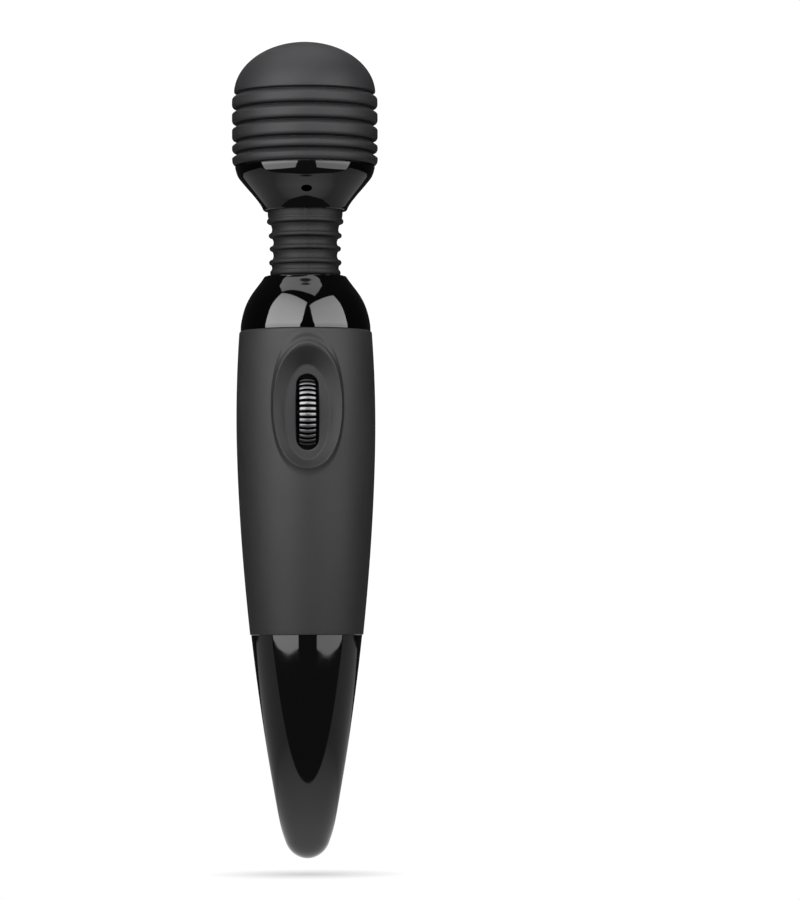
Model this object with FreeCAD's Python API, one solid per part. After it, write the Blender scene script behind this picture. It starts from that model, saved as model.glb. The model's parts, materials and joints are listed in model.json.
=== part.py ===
import FreeCAD, Part
import math
import os

# Cordless handheld wand massager: a motor head on a short flexible neck, a soft grip with a
# speed wheel in a thumb dish, and a screw-off tail cap over four AA cells.
#
# Millimetres. Z runs up the wand, the speed wheel looks towards -Y. Heights in this file are
# measured up from the tip of the tail; save() lowers every piece so that the origin lies on
# the axis at the middle of the grip.

GRIP_CENTRE_Z = 150.0

# Grip: a barrel that is widest a little below the speed wheel.
GRIP_BOTTOM_Z = 89.4
GRIP_WIDEST_Z = 174.0
GRIP_TOP_Z = 210.4
GRIP_BOTTOM_R = 22.6
GRIP_WIDEST_R = 27.8
GRIP_TOP_R = 26.5
GRIP_TAPER_POWER = 1.75
SLEEVE_WALL = 1.5
SLEEVE_EDGE = 1.0
SHELL_WALL = 1.8
FIT_GAP = 0.05

# Thumb dish in the front of the grip and the slot for the wheel. The dish widens from its
# floor to an imagined mouth in front of the grip. The rim's flank narrows from the root oval to
# the tip oval, and the crest is where the two slopes meet.
DISH_FLOOR_Y = -22.8
DISH_FLOOR_HALF = (8.7, 18.9)
DISH_FLOOR_Z = 176.9
DISH_MOUTH_Y = -29.5
DISH_MOUTH_HALF = (18.4, 25.6)
DISH_MOUTH_Z = 179.7
RIM_ROOT_Y = -22.0
RIM_ROOT_HALF = (15.1, 39.5)
RIM_TIP_Y = -30.0
RIM_TIP_HALF = (12.25, 20.5)
RIM_Z = 179.6
RIM_PROUD = 2.6
SLOT_HALF_WIDTH = 4.7
SLOT_HALF_LENGTH = 15.1
OVAL_STEPS = 24

# Speed wheel.
WHEEL_Z = 177.0
WHEEL_Y = -10.5
WHEEL_R = 17.0
WHEEL_EDGE_R = 16.2
WHEEL_HALF_WIDTH = 3.4
WHEEL_TEETH = 46
WHEEL_GAP_WIDTH = 0.95
WHEEL_GAP_DEPTH = 1.1
AXLE_R = 1.5
RUNNING_GAP = 0.05

# Shoulder over the grip, neck bellows and the two cuffs that hold it.
SHOULDER_TOP_Z = 232.4
SKIRT_BOTTOM_Z = 206.4
NECK_BORE_R = 14.8
BELLOWS_IN_R = 11.3
LOWER_CREST = (14.1, 233.7)
RIB_CRESTS = [(14.5, 237.9), (14.3, 243.4), (14.65, 248.6)]
UPPER_CREST = (15.35, 254.2)
VALLEYS = [(13.35, 235.8), (12.75, 240.6), (12.7, 245.8), (13.3, 251.0)]
VALLEY_GAP = 0.2
RIDGE_HALF = 0.9
RIDGE_HEIGHT = 0.55
COLLAR_R = 13.3
SPRING_R = 9.5
SPRING_WIRE_R = 0.9
SPRING_LOW_Z = 227.5
SPRING_HIGH_Z = 262.4
SPRING_TURNS = 10
LEAD_R = 0.8
LEAD_X = 3.0

# Head: gloss cup below, soft cushion over a hard core above.
CUP_BOTTOM_Z = 259.0
CUP_TOP_Z = 276.2
CUP_TOP_R = 28.0
CUP_SPIGOT_R = 23.7
CUP_SPIGOT_TOP_Z = 283.0
CUP_BORE_R = 15.2
VENT_HALF_WIDTH = 2.2
VENT_HALF_HEIGHT = 1.65
VENT_CENTRE = (21.0, 265.6)
VENT_SLOPE_DEG = 44.0
CORE_R = 25.8
CORE_WALL = 2.0
CORE_BOTTOM_Z = 276.4
DOME_CENTRE_Z = 305.4
DOME_HEIGHT = 21.0
DOME_R = 28.4
CUSHION_TOP_WALL = 2.8
CUSHION_BOTTOM_Z = 276.8
LAND_R = 29.2
GROOVE_R = 27.6
GROOVES = [281.2, 285.9, 292.4, 298.6]
GROOVE_HALF = 1.1
GROOVE_FLOOR_HALF = 0.15
DOME_GROOVE_Z = 304.9

# Motor and its eccentric weight.
MOTOR_R = 12.2
MOTOR_CAN_WALL = 0.8
MOTOR_BELL_Z = 268.6
MOTOR_CAN_Z = 271.0
MOTOR_TOP_Z = 301.5
PLATE_TOP_Z = 304.5
PLATE_R = 22.5
BOSS_CIRCLE_R = 18.5
BOSS_R = 3.0
MOTOR_SCREW_CIRCLE_R = 8.0
SHAFT_R = 1.15
SHAFT_TOP_Z = 318.2
BUSH_Z = 314.6
BUSH_R = 3.0
BUSH_LENGTH = 4.0
WEIGHT_R = 11.0
WEIGHT_Z = 306.0
WEIGHT_HEIGHT = 8.0
HUB_R = 4.0
SET_SCREW_R = 0.95

# Battery barrel, cells and contacts.
CELL_R = 7.1
CELL_LENGTH = 50.5
CELL_Z = 80.0
CELL_OFFSET = 7.6
CELL_BORE_R = 7.35
NUB_R = 2.7
NUB_HEIGHT = 1.0
SPIGOT_R = 19.0
SPIGOT_BOTTOM_Z = 79.0
BARREL_R = 19.1
BARREL_TOP_Z = 134.0
BARREL_FLANGE_R = 22.7
PEG_HALF = 1.5
PEG_TOP_Z = 88.0
THREAD_PITCH = 3.0
THREAD_TURNS = 2.0
THREAD_Z = 80.6
THREAD_CREST_R = 19.7
SEAL_Z = 88.2
SEAL_R = 19.3
SEAL_SECTION_R = 0.55

# Tail cap and the keyed contact carrier inside it.
CAP_TOP_Z = 89.0
CAP_ROOT_R = 19.95
CAP_CREST_R = 19.25
CAP_LEDGE_Z = 74.3
CARRIER_Z = 74.6
CARRIER_R = 18.0
CARRIER_THICK = 1.8
CLIP_Z = 76.75
CLIP_THICK = 0.9

# Circuit board behind the wheel.
BOARD_Y = 8.5
BOARD_THICK = 1.6
BOARD_HALF_WIDTH = 15.0
BOARD_Z = (150.0, 206.0)
BOARD_SCREWS = [(-11.0, 155.0), (11.0, 155.0), (-11.0, 201.0), (11.0, 201.0)]
SHELL_SCREWS = [(-18.5, 142.0), (18.5, 142.0), (-18.5, 196.0), (18.5, 196.0)]
SHELL_POST_R = 3.0
SHELL_SCREW_R = 1.0
SHELL_SCREW_HEAD_R = 2.2
SHELL_SCREW_HEAD_Y = 10.0
SHELL_SCREW_HEAD_HEIGHT = 2.0
SHELL_SCREW_TIP_Y = -8.0
BOARD_POST_R = 2.5
BOARD_SCREW_R = 0.95
BOARD_SCREW_HEAD_R = 2.0
BOARD_SCREW_LENGTH = 8.0

V = FreeCAD.Vector
ORIGIN = V(0, 0, 0)
RIGHT = V(1, 0, 0)
BACK = V(0, 1, 0)
UP = V(0, 0, 1)


# ---------------------------------------------------------------- general helpers

def save(node, shape):
    """Write one named piece, with the origin at the middle of the grip."""
    placed = shape.copy()
    placed.translate(V(0, 0, -GRIP_CENTRE_Z))
    placed.exportStep("parts/" + node + ".step")


def line(points):
    """Straight outline edges through (radius, height) points."""
    corners = [V(r, 0, z) for r, z in points]
    return [Part.LineSegment(a, b).toShape() for a, b in zip(corners, corners[1:])]


def curve(points):
    """One smooth outline edge through (radius, height) points."""
    smooth = Part.BSplineCurve()
    smooth.interpolate(Points=[V(r, 0, z) for r, z in points])
    return [smooth.toShape()]


def arc(start, middle, end):
    """Outline arc through three (radius, height) points."""
    points = [V(r, 0, z) for r, z in (start, middle, end)]
    return [Part.Arc(*points).toShape()]


def turned(edges):
    """Solid of revolution about the wand's axis from a closed outline."""
    outline = Part.Wire(Part.__sortEdges__(edges))
    return Part.Face(outline).revolve(ORIGIN, UP, 360)


def ring(inner_r, outer_r, low, high):
    """Plain ring, or a disc when inner_r is 0."""
    body = Part.makeCylinder(outer_r, high - low, V(0, 0, low))
    if inner_r > 0:
        body = body.cut(Part.makeCylinder(inner_r, high - low, V(0, 0, low)))
    return body


def post(x, y, r, low, high):
    """Upright cylinder beside the axis."""
    return Part.makeCylinder(r, high - low, V(x, y, low))


def box(low, high):
    """Box between two corners."""
    return Part.makeBox(high[0] - low[0], high[1] - low[1], high[2] - low[2], V(*low))


def along_x(r, x_low, x_high):
    """Cylinder on the speed wheel's axis."""
    return Part.makeCylinder(r, x_high - x_low, V(x_low, WHEEL_Y, WHEEL_Z), RIGHT)


def along_y(x, z, r, y_low, y_high):
    """Cylinder square to the circuit board."""
    return Part.makeCylinder(r, y_high - y_low, V(x, y_low, z), BACK)


def joined(shapes):
    """Fuse a list of touching shapes into one solid."""
    return shapes[0].multiFuse(shapes[1:]).removeSplitter()


def around(shape, count, start_deg=0.0):
    """Copies of a shape spread evenly about the wand's axis."""
    copies = []
    for index in range(count):
        copy = shape.copy()
        copy.rotate(ORIGIN, UP, start_deg + 360.0 * index / count)
        copies.append(copy)
    return copies


def helical(section, pitch, turns, r, low):
    """Sweep a closed (radius, height) section, given about height 0, up a right-hand helix."""
    path = Part.makeHelix(pitch, pitch * turns, r)
    path.translate(V(0, 0, low))
    profile = Part.Wire(Part.__sortEdges__(section))
    profile.translate(V(0, 0, low))
    return Part.Wire(path.Edges).makePipeShell([profile], True, True)


def lead(points, r=LEAD_R):
    """Insulated wire: straight runs joined by tangent arcs."""
    corners = [V(*p) for p in points]
    edges = []
    start = corners[0]
    for before, corner, after in zip(corners, corners[1:], corners[2:]):
        reach = 0.45 * min((corner - before).Length, (after - corner).Length)
        into = (corner - before).normalize()
        out = (after - corner).normalize()
        first = corner - into * reach
        last = corner + out * reach
        half_turn = into.getAngle(out) / 2
        bend_r = reach / math.tan(half_turn)
        inward = (out - into).normalize()
        centre = corner + inward * (bend_r / math.cos(half_turn))
        edges.append(Part.LineSegment(start, first).toShape())
        edges.append(Part.Arc(first, centre - inward * bend_r, last).toShape())
        start = last
    edges.append(Part.LineSegment(start, corners[-1]).toShape())
    path = Part.Wire(edges)
    heading = (corners[1] - corners[0]).normalize()
    section = Part.Wire(Part.makeCircle(r, corners[0], heading))
    return path.makePipeShell([section], True, False)


# ---------------------------------------------------------------- grip surfaces

def grip_radius(z):
    """Outer radius of the grip at a height."""
    if z < GRIP_WIDEST_Z:
        fall = (GRIP_WIDEST_Z - z) / (GRIP_WIDEST_Z - GRIP_BOTTOM_Z)
        return GRIP_WIDEST_R - (GRIP_WIDEST_R - GRIP_BOTTOM_R) * fall ** GRIP_TAPER_POWER
    fall = (z - GRIP_WIDEST_Z) / (GRIP_TOP_Z - GRIP_WIDEST_Z)
    return GRIP_WIDEST_R - (GRIP_WIDEST_R - GRIP_TOP_R) * fall ** 2


def grip_curve(inset, low, high):
    """Outline of the grip, moved inwards by inset."""
    steps = 8
    heights = [low + (high - low) * step / steps for step in range(steps + 1)]
    return curve([(grip_radius(z) - inset, z) for z in heights])


def grip_barrel(inset, low, high):
    """Filled barrel a given distance inside the grip's surface."""
    bottom_r = grip_radius(low) - inset
    top_r = grip_radius(high) - inset
    ends = line([(top_r, high), (0, high), (0, low), (bottom_r, low)])
    return turned(grip_curve(inset, low, high) + ends)


def oval(half, centre_z, y):
    """Smooth closed oval standing in the plane at y."""
    points = []
    for step in range(OVAL_STEPS):
        angle = 2 * math.pi * step / OVAL_STEPS
        points.append(V(half[0] * math.cos(angle), y, centre_z + half[1] * math.sin(angle)))
    loop = Part.BSplineCurve()
    loop.interpolate(Points=points, PeriodicFlag=True)
    return Part.Wire(loop.toShape())


def dish(inset):
    """Cutter for the thumb dish; each layer below the surface uses it moved inwards."""
    spread = inset / 2
    floor = oval([h + spread for h in DISH_FLOOR_HALF], DISH_FLOOR_Z, DISH_FLOOR_Y + inset)
    mouth = oval([h + spread for h in DISH_MOUTH_HALF], DISH_MOUTH_Z, DISH_MOUTH_Y + inset)
    return Part.makeLoft([floor, mouth], True, True)


def wheel_slot(clearance=0.0):
    """Round-ended slot through the floor of the dish."""
    half = SLOT_HALF_WIDTH + clearance
    straight = SLOT_HALF_LENGTH - SLOT_HALF_WIDTH
    y_low = DISH_MOUTH_Y
    y_high = WHEEL_Y
    middle = box((-half, y_low, WHEEL_Z - straight), (half, y_high, WHEEL_Z + straight))
    ends = [along_y(0, WHEEL_Z + side * straight, half, y_low, y_high) for side in (-1, 1)]
    return joined([middle] + ends)


# ---------------------------------------------------------------- grip pieces

def grip_sleeve():
    """Soft sleeve with rounded ends, the raised dish rim and the wheel slot."""
    low = GRIP_BOTTOM_Z + SLEEVE_EDGE
    high = GRIP_TOP_Z - SLEEVE_EDGE
    lean = SLEEVE_EDGE * (1 - math.sqrt(0.5))
    bottom_r = grip_radius(low)
    top_r = grip_radius(high)
    edges = arc((bottom_r - SLEEVE_EDGE, GRIP_BOTTOM_Z),
                (bottom_r - lean, GRIP_BOTTOM_Z + lean),
                (bottom_r, low))
    edges += grip_curve(0, low, high)
    edges += arc((top_r, high),
                 (top_r - lean, GRIP_TOP_Z - lean),
                 (top_r - SLEEVE_EDGE, GRIP_TOP_Z))
    edges += line([(top_r - SLEEVE_EDGE, GRIP_TOP_Z), (0, GRIP_TOP_Z), (0, GRIP_BOTTOM_Z),
                   (bottom_r - SLEEVE_EDGE, GRIP_BOTTOM_Z)])
    root = oval(RIM_ROOT_HALF, RIM_Z, RIM_ROOT_Y)
    tip = oval(RIM_TIP_HALF, RIM_Z, RIM_TIP_Y)
    rim = Part.makeLoft([root, tip], True, True).common(grip_barrel(-RIM_PROUD, low, high))
    skin = turned(edges).fuse(rim)
    inside = grip_barrel(SLEEVE_WALL, GRIP_BOTTOM_Z - 1, GRIP_TOP_Z + 1).cut(dish(SLEEVE_WALL))
    return skin.cut(dish(0)).cut(inside).cut(wheel_slot())


def hard_shell():
    """Both halves of the handle's hard shell, before they are parted."""
    outer = SLEEVE_WALL + FIT_GAP
    inner = outer + SHELL_WALL
    body = grip_barrel(outer, GRIP_BOTTOM_Z, GRIP_TOP_Z - 0.1).cut(dish(outer))
    inside = grip_barrel(inner, GRIP_BOTTOM_Z - 1, GRIP_TOP_Z + 1).cut(dish(inner))
    return body.cut(inside).cut(wheel_slot(clearance=0.2))


def half_space(side):
    """Big box on one side of the parting plane y = 0."""
    reach = 40.0
    low = (-reach, min(0, side * reach), 0)
    high = (reach, max(0, side * reach), 330)
    return box(low, high)


def front_shell():
    """Front half: blind screw posts run from the front wall back to the parting plane."""
    shape = hard_shell().common(half_space(-1))
    inside = grip_barrel(SLEEVE_WALL + 0.5, GRIP_BOTTOM_Z, GRIP_TOP_Z).cut(dish(SLEEVE_WALL + 0.5))
    for x, z in SHELL_SCREWS:
        shape = shape.fuse(along_y(x, z, SHELL_POST_R, -30, 0).common(inside))
    for x, z in SHELL_SCREWS:
        shape = shape.cut(along_y(x, z, SHELL_SCREW_R + FIT_GAP, SHELL_SCREW_TIP_Y - 1, 0))
    return shape


def rear_shell():
    """Rear half: counterbored screw posts, and four short posts that carry the board."""
    shape = hard_shell().common(half_space(1))
    inside = grip_barrel(SLEEVE_WALL + 0.5, GRIP_BOTTOM_Z, GRIP_TOP_Z)
    for x, z in SHELL_SCREWS:
        shape = shape.fuse(along_y(x, z, SHELL_POST_R, 0, 30).common(inside))
    for x, z in BOARD_SCREWS:
        shape = shape.fuse(along_y(x, z, BOARD_POST_R, BOARD_Y + BOARD_THICK, 30).common(inside))
    for x, z in SHELL_SCREWS:
        shape = shape.cut(along_y(x, z, SHELL_SCREW_R + 0.4, 0, 30))
        shape = shape.cut(along_y(x, z, SHELL_SCREW_HEAD_R + 0.1, SHELL_SCREW_HEAD_Y, 30))
    for x, z in BOARD_SCREWS:
        shape = shape.cut(along_y(x, z, BOARD_SCREW_R + FIT_GAP, BOARD_Y,
                                  BOARD_Y + BOARD_SCREW_LENGTH + 1))
    return shape


def shell_screws():
    """Four screws that clamp the shells, driven from the back under the sleeve."""
    screws = []
    for x, z in SHELL_SCREWS:
        top_y = SHELL_SCREW_HEAD_Y + SHELL_SCREW_HEAD_HEIGHT
        shank = along_y(x, z, SHELL_SCREW_R, SHELL_SCREW_TIP_Y, SHELL_SCREW_HEAD_Y)
        head = along_y(x, z, SHELL_SCREW_HEAD_R, SHELL_SCREW_HEAD_Y, top_y)
        screws.append(joined([shank, head]).cut(along_y(x, z, 0.8, top_y - 1, top_y)))
    return Part.makeCompound(screws)


def shoulder_collar():
    """Gloss dome over the top of the grip, with a skirt that plugs into the shells."""
    dome = curve([(26.0, GRIP_TOP_Z), (25.75, 214.0), (24.5, 219.0), (22.3, 223.8),
                  (18.9, 228.6), (16.6, 231.8)])
    rest = line([(16.6, 231.8), (15.3, SHOULDER_TOP_Z), (NECK_BORE_R, SHOULDER_TOP_Z - 0.5),
                 (NECK_BORE_R, 228.4), (16.8, 228.4), (16.8, 225.9), (18.2, 225.9),
                 (18.2, 222.0), (21.0, 216.0), (21.0, SKIRT_BOTTOM_Z), (23.0, SKIRT_BOTTOM_Z),
                 (23.0, GRIP_TOP_Z), (26.0, GRIP_TOP_Z)])
    return turned(dome + rest)


# ---------------------------------------------------------------- speed control

def thumbwheel():
    """Crowned wheel on the X axis: toothed rim, thin web and hub."""
    half = WHEEL_HALF_WIDTH
    crown = Part.Arc(V(-half, 0, WHEEL_EDGE_R), V(0, 0, WHEEL_R), V(half, 0, WHEEL_EDGE_R))
    corners = [(half, WHEEL_EDGE_R), (half, 12.5), (1.5, 12.0), (1.5, 5.0), (half, 4.5),
               (half, AXLE_R), (-half, AXLE_R), (-half, 4.5), (-1.5, 5.0), (-1.5, 12.0),
               (-half, 12.5), (-half, WHEEL_EDGE_R)]
    points = [V(x, 0, r) for x, r in corners]
    sides = [Part.LineSegment(a, b).toShape() for a, b in zip(points, points[1:])]
    outline = Part.Wire(Part.__sortEdges__([crown.toShape()] + sides))
    wheel = Part.Face(outline).revolve(ORIGIN, RIGHT, 360)
    gap = Part.makeBox(2 * half + 1, WHEEL_GAP_WIDTH, 3,
                       V(-half - 0.5, -WHEEL_GAP_WIDTH / 2, WHEEL_R - WHEEL_GAP_DEPTH))
    gaps = []
    for index in range(WHEEL_TEETH):
        copy = gap.copy()
        copy.rotate(ORIGIN, RIGHT, 360.0 * index / WHEEL_TEETH)
        gaps.append(copy)
    wheel = wheel.cut(Part.makeCompound(gaps))
    wheel.translate(V(0, WHEEL_Y, WHEEL_Z))
    return wheel


def wheel_axle():
    """Steel pin pressed through the wheel and turning in the cradle."""
    return along_x(AXLE_R, -6.4, 11.0)


def wheel_cradle():
    """U-shaped bearing block that stands on the board and carries the axle."""
    base = box((-8.0, 7.0, WHEEL_Z - 13), (8.0, BOARD_Y, WHEEL_Z + 13))
    cheeks = []
    for low in (-6.4, 4.4):
        arm = box((low, WHEEL_Y, WHEEL_Z - 5), (low + 2.0, 7.5, WHEEL_Z + 5))
        nose = along_x(5.0, low, low + 2.0)
        cheeks += [arm, nose]
    return joined([base] + cheeks).cut(along_x(AXLE_R + RUNNING_GAP, -10, 10))


def speed_pot():
    """Rotary potentiometer body on the right-hand cheek of the cradle."""
    body = along_x(7.5, 6.5, 12.0)
    hollow = along_x(6.5, 7.5, 11.3)
    return body.cut(hollow).cut(along_x(AXLE_R + RUNNING_GAP, 6.0, 8.0))


def pot_wiper():
    """Wiper disc on the end of the axle, inside the potentiometer."""
    return along_x(5.5, 8.4, 9.6).cut(along_x(AXLE_R, 8.0, 10.0))


def pot_pins():
    """Three solder pins from the potentiometer to the board."""
    low = WHEEL_Y + 7.6
    return Part.makeCompound([along_y(9.5, WHEEL_Z + rise, 0.5, low, BOARD_Y) for rise in (-2.5, 0, 2.5)])


# ---------------------------------------------------------------- electronics

def circuit_board():
    """Flat board with four screw holes."""
    board = box((-BOARD_HALF_WIDTH, BOARD_Y, BOARD_Z[0]),
                (BOARD_HALF_WIDTH, BOARD_Y + BOARD_THICK, BOARD_Z[1]))
    for x, z in BOARD_SCREWS:
        board = board.cut(along_y(x, z, 1.3, BOARD_Y - 1, BOARD_Y + BOARD_THICK + 1))
    return board


def board_components():
    """Driver transistor, coil, capacitor and small parts on the back of the board."""
    face_y = BOARD_Y + BOARD_THICK
    coil = along_y(5.0, 186.0, 5.0, face_y, face_y + 5.0)
    capacitor = along_y(7.0, 168.0, 4.0, face_y, face_y + 9.0)
    transistor = box((-11.0, face_y, 176.0), (-4.0, face_y + 4.5, 190.0))
    chip = box((-9.0, face_y, 163.0), (-4.0, face_y + 1.6, 169.0))
    return Part.makeCompound([coil, capacitor, transistor, chip])


def board_screws():
    """Four screws into the rear shell's posts."""
    screws = []
    for x, z in BOARD_SCREWS:
        shank = along_y(x, z, BOARD_SCREW_R, BOARD_Y, BOARD_Y + BOARD_SCREW_LENGTH)
        head = along_y(x, z, BOARD_SCREW_HEAD_R, BOARD_Y - 1.5, BOARD_Y)
        screws.append(joined([shank, head]))
    return Part.makeCompound(screws)


def battery_leads():
    """Two wires from the battery contacts up the back of the board."""
    y = BOARD_Y + BOARD_THICK + LEAD_R
    wires = [post(side * CELL_OFFSET, y, LEAD_R, 136.2, 153.0) for side in (-1, 1)]
    return Part.makeCompound(wires)


def handle_leads():
    """Motor wires from the board to the foot of the neck."""
    y = BOARD_Y + BOARD_THICK + LEAD_R
    wires = []
    for side in (-1, 1):
        x = side * LEAD_X
        wires.append(lead([(x, y, 197.0), (x, y, 213.0), (x, 0, 223.0), (x, 0, 231.0)]))
    return Part.makeCompound(wires)


def neck_leads():
    """The same wires where they pass up the middle of the neck."""
    return Part.makeCompound([post(side * LEAD_X, 0, LEAD_R, 231.4, 261.6) for side in (-1, 1)])


def motor_leads():
    """The same wires from the top of the neck to the motor's terminals."""
    return Part.makeCompound([post(side * LEAD_X, 0, LEAD_R, 262.0, 266.6) for side in (-1, 1)])


# ---------------------------------------------------------------- neck

def flank(low, crest, high):
    """Outer edge of one bellows rib: wide hollows either side of a narrow round ridge."""
    crest_r, crest_z = crest
    foot_r = crest_r - RIDGE_HEIGHT
    foot_low = crest_z - RIDGE_HALF
    foot_high = crest_z + RIDGE_HALF
    low_middle = ((low[0] * 3 + foot_r) / 4, low[1] + (foot_low - low[1]) * 0.6)
    high_middle = ((high[0] * 3 + foot_r) / 4, high[1] - (high[1] - foot_high) * 0.6)
    lower = curve([low, low_middle, (foot_r, foot_low)])
    nose = arc((foot_r, foot_low), (crest_r, crest_z), (foot_r, foot_high))
    upper = curve([(foot_r, foot_high), high_middle, high])
    return lower + nose + upper


def neck_rib(index):
    """One rubber rib of the bellows, from valley to valley."""
    low = (VALLEYS[index][0], VALLEYS[index][1] + VALLEY_GAP)
    high = (VALLEYS[index + 1][0], VALLEYS[index + 1][1] - VALLEY_GAP)
    inside = line([high, (BELLOWS_IN_R, high[1]), (BELLOWS_IN_R, low[1]), low])
    return turned(flank(low, RIB_CRESTS[index], high) + inside)


def neck_lower_cuff():
    """Foot of the bellows: a flange trapped in the shoulder and the lowest rib."""
    top = (VALLEYS[0][0], VALLEYS[0][1] - VALLEY_GAP)
    crest_r, crest_z = LOWER_CREST
    outline = line([(16.5, 226.0), (16.5, 228.2), (14.5, 228.2), (14.5, 231.6), (13.6, 232.6)])
    outline += arc((13.6, 232.6), (crest_r, crest_z), (13.6, 234.8))
    outline += line([(13.6, 234.8), top, (BELLOWS_IN_R, top[1]), (BELLOWS_IN_R, 231.4),
                     (13.4, 231.4), (13.4, 226.0), (16.5, 226.0)])
    return turned(outline)


def neck_upper_cuff():
    """Head end of the bellows: the top rib, a plain cuff and a flange inside the cup."""
    low = (VALLEYS[3][0], VALLEYS[3][1] + VALLEY_GAP)
    crest_r, crest_z = UPPER_CREST
    outline = curve([low, (13.7, 252.3), (14.7, 253.1)])
    outline += arc((14.7, 253.1), (crest_r, crest_z), (14.85, 255.5))
    outline += line([(14.85, 255.5), (15.0, 256.4), (15.0, 261.6), (16.3, 261.6), (16.3, 263.3),
                     (13.4, 263.3), (13.4, 257.9), (BELLOWS_IN_R, 257.9),
                     (BELLOWS_IN_R, low[1]), low])
    return turned(outline)


def neck_lower_collar():
    """Hard ring in the shoulder that seats the bellows' flange and the neck spring."""
    outline = [(8.2, 224.0), (17.8, 224.0), (17.8, 225.8), (COLLAR_R, 225.8), (COLLAR_R, 231.2),
               (10.6, 231.2), (10.6, 226.4), (8.2, 226.4), (8.2, 224.0)]
    return turned(line(outline))


def neck_upper_collar():
    """Hard ring in the head cup that seats the other end of the spring."""
    outline = [(8.2, 265.0), (16.3, 265.0), (16.3, 263.5), (COLLAR_R, 263.5), (COLLAR_R, 258.1),
               (10.6, 258.1), (10.6, 263.5), (8.2, 263.5), (8.2, 265.0)]
    return turned(line(outline))


def neck_spring():
    """Steel coil spring that carries the head and lets the neck bend."""
    pitch = (SPRING_HIGH_Z - SPRING_LOW_Z) / SPRING_TURNS
    wire = Part.makeCircle(SPRING_WIRE_R, V(SPRING_R, 0, 0), BACK)
    return helical([wire], pitch, SPRING_TURNS, SPRING_R, SPRING_LOW_Z)


# ---------------------------------------------------------------- head

def head_cup():
    """Gloss cup under the head, with a vent hole and three posts for the motor plate."""
    wall = curve([(16.6, CUP_BOTTOM_Z + 0.4), (17.5, 261.0), (18.95, 263.4), (21.1, 265.8),
                  (23.4, 268.2), (25.4, 270.6), (26.9, 273.0), (27.75, 275.2),
                  (CUP_TOP_R, CUP_TOP_Z)])
    rest = line([(CUP_TOP_R, CUP_TOP_Z), (CUP_SPIGOT_R, CUP_TOP_Z),
                 (CUP_SPIGOT_R, CUP_SPIGOT_TOP_Z), (21.9, CUP_SPIGOT_TOP_Z), (21.9, 270.0),
                 (19.5, 267.4), (17.2, 265.2), (16.5, 264.6), (16.5, 261.5),
                 (CUP_BORE_R, 261.5), (CUP_BORE_R, CUP_BOTTOM_Z + 0.4),
                 (CUP_BORE_R + 0.4, CUP_BOTTOM_Z), (16.2, CUP_BOTTOM_Z),
                 (16.6, CUP_BOTTOM_Z + 0.4)])
    boss = post(BOSS_CIRCLE_R, 0, BOSS_R, 267.3, MOTOR_TOP_Z)
    boss_hole = post(BOSS_CIRCLE_R, 0, 1.3, MOTOR_TOP_Z - 9, MOTOR_TOP_Z)
    shape = joined([turned(wall + rest)] + around(boss, 3, 90))
    for hole in around(boss_hole, 3, 90):
        shape = shape.cut(hole)
    return shape.cut(vent())


def vent():
    """Oval bore square to the sloping front of the cup."""
    outline = Part.Wire(Part.Ellipse(ORIGIN, VENT_HALF_WIDTH, VENT_HALF_HEIGHT).toShape())
    bore = Part.Face(outline).extrude(UP * 6.5)
    bore.translate(UP * -2)
    bore.rotate(ORIGIN, RIGHT, VENT_SLOPE_DEG - 90)
    bore.translate(V(0, -VENT_CENTRE[0], VENT_CENTRE[1]))
    return bore


def dome_curve(r, height, start_z):
    """Upper part of an ellipse over the head, from start_z up to the axis."""
    start = math.asin((start_z - DOME_CENTRE_Z) / height)
    steps = 8
    points = []
    for step in range(steps + 1):
        angle = start + (math.pi / 2 - start) * step / steps
        points.append((r * math.cos(angle), DOME_CENTRE_Z + height * math.sin(angle)))
    points[-1] = (0, DOME_CENTRE_Z + height)
    return points


def head_core():
    """Hard inner cap of the head, with the boss for the top bush."""
    height = DOME_HEIGHT - CUSHION_TOP_WALL
    outer = dome_curve(CORE_R, height, DOME_CENTRE_Z)
    inner = dome_curve(CORE_R - CORE_WALL, height - CORE_WALL, DOME_CENTRE_Z)
    edges = curve(outer) + curve(inner)
    edges += line([outer[-1], inner[-1]])
    edges += line([inner[0], (CORE_R - CORE_WALL, CORE_BOTTOM_Z), (CORE_R, CORE_BOTTOM_Z), outer[0]])
    top_z = DOME_CENTRE_Z + height - CORE_WALL / 2
    boss = ring(0, 5.0, BUSH_Z, top_z)
    pocket = ring(0, BUSH_R, BUSH_Z, BUSH_Z + BUSH_LENGTH + 0.2)
    return joined([turned(edges), boss]).cut(pocket)


def head_cushion():
    """Soft silicone cap: ribbed sides with sharp grooves, smooth dome, all one skin."""
    height = DOME_HEIGHT - CUSHION_TOP_WALL
    gap = FIT_GAP
    inner = dome_curve(CORE_R + gap, height + gap, DOME_CENTRE_Z)
    outer = dome_curve(DOME_R, DOME_HEIGHT, DOME_GROOVE_Z + 1.8)
    side = [(28.4, CUSHION_BOTTOM_Z), (LAND_R, CUSHION_BOTTOM_Z + 0.9)]
    for z in GROOVES:
        side += [(LAND_R, z - GROOVE_HALF), (GROOVE_R, z - GROOVE_FLOOR_HALF),
                 (GROOVE_R, z + GROOVE_FLOOR_HALF), (LAND_R, z + GROOVE_HALF)]
    side += [(LAND_R, DOME_GROOVE_Z - GROOVE_HALF), (GROOVE_R, DOME_GROOVE_Z - GROOVE_FLOOR_HALF),
             (GROOVE_R, DOME_GROOVE_Z + GROOVE_FLOOR_HALF), outer[0]]
    edges = line(side) + curve(outer)
    edges += line([outer[-1], inner[-1]]) + curve(inner)
    edges += line([inner[0], (CORE_R + gap, CUSHION_BOTTOM_Z), side[0]])
    return turned(edges)


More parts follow.
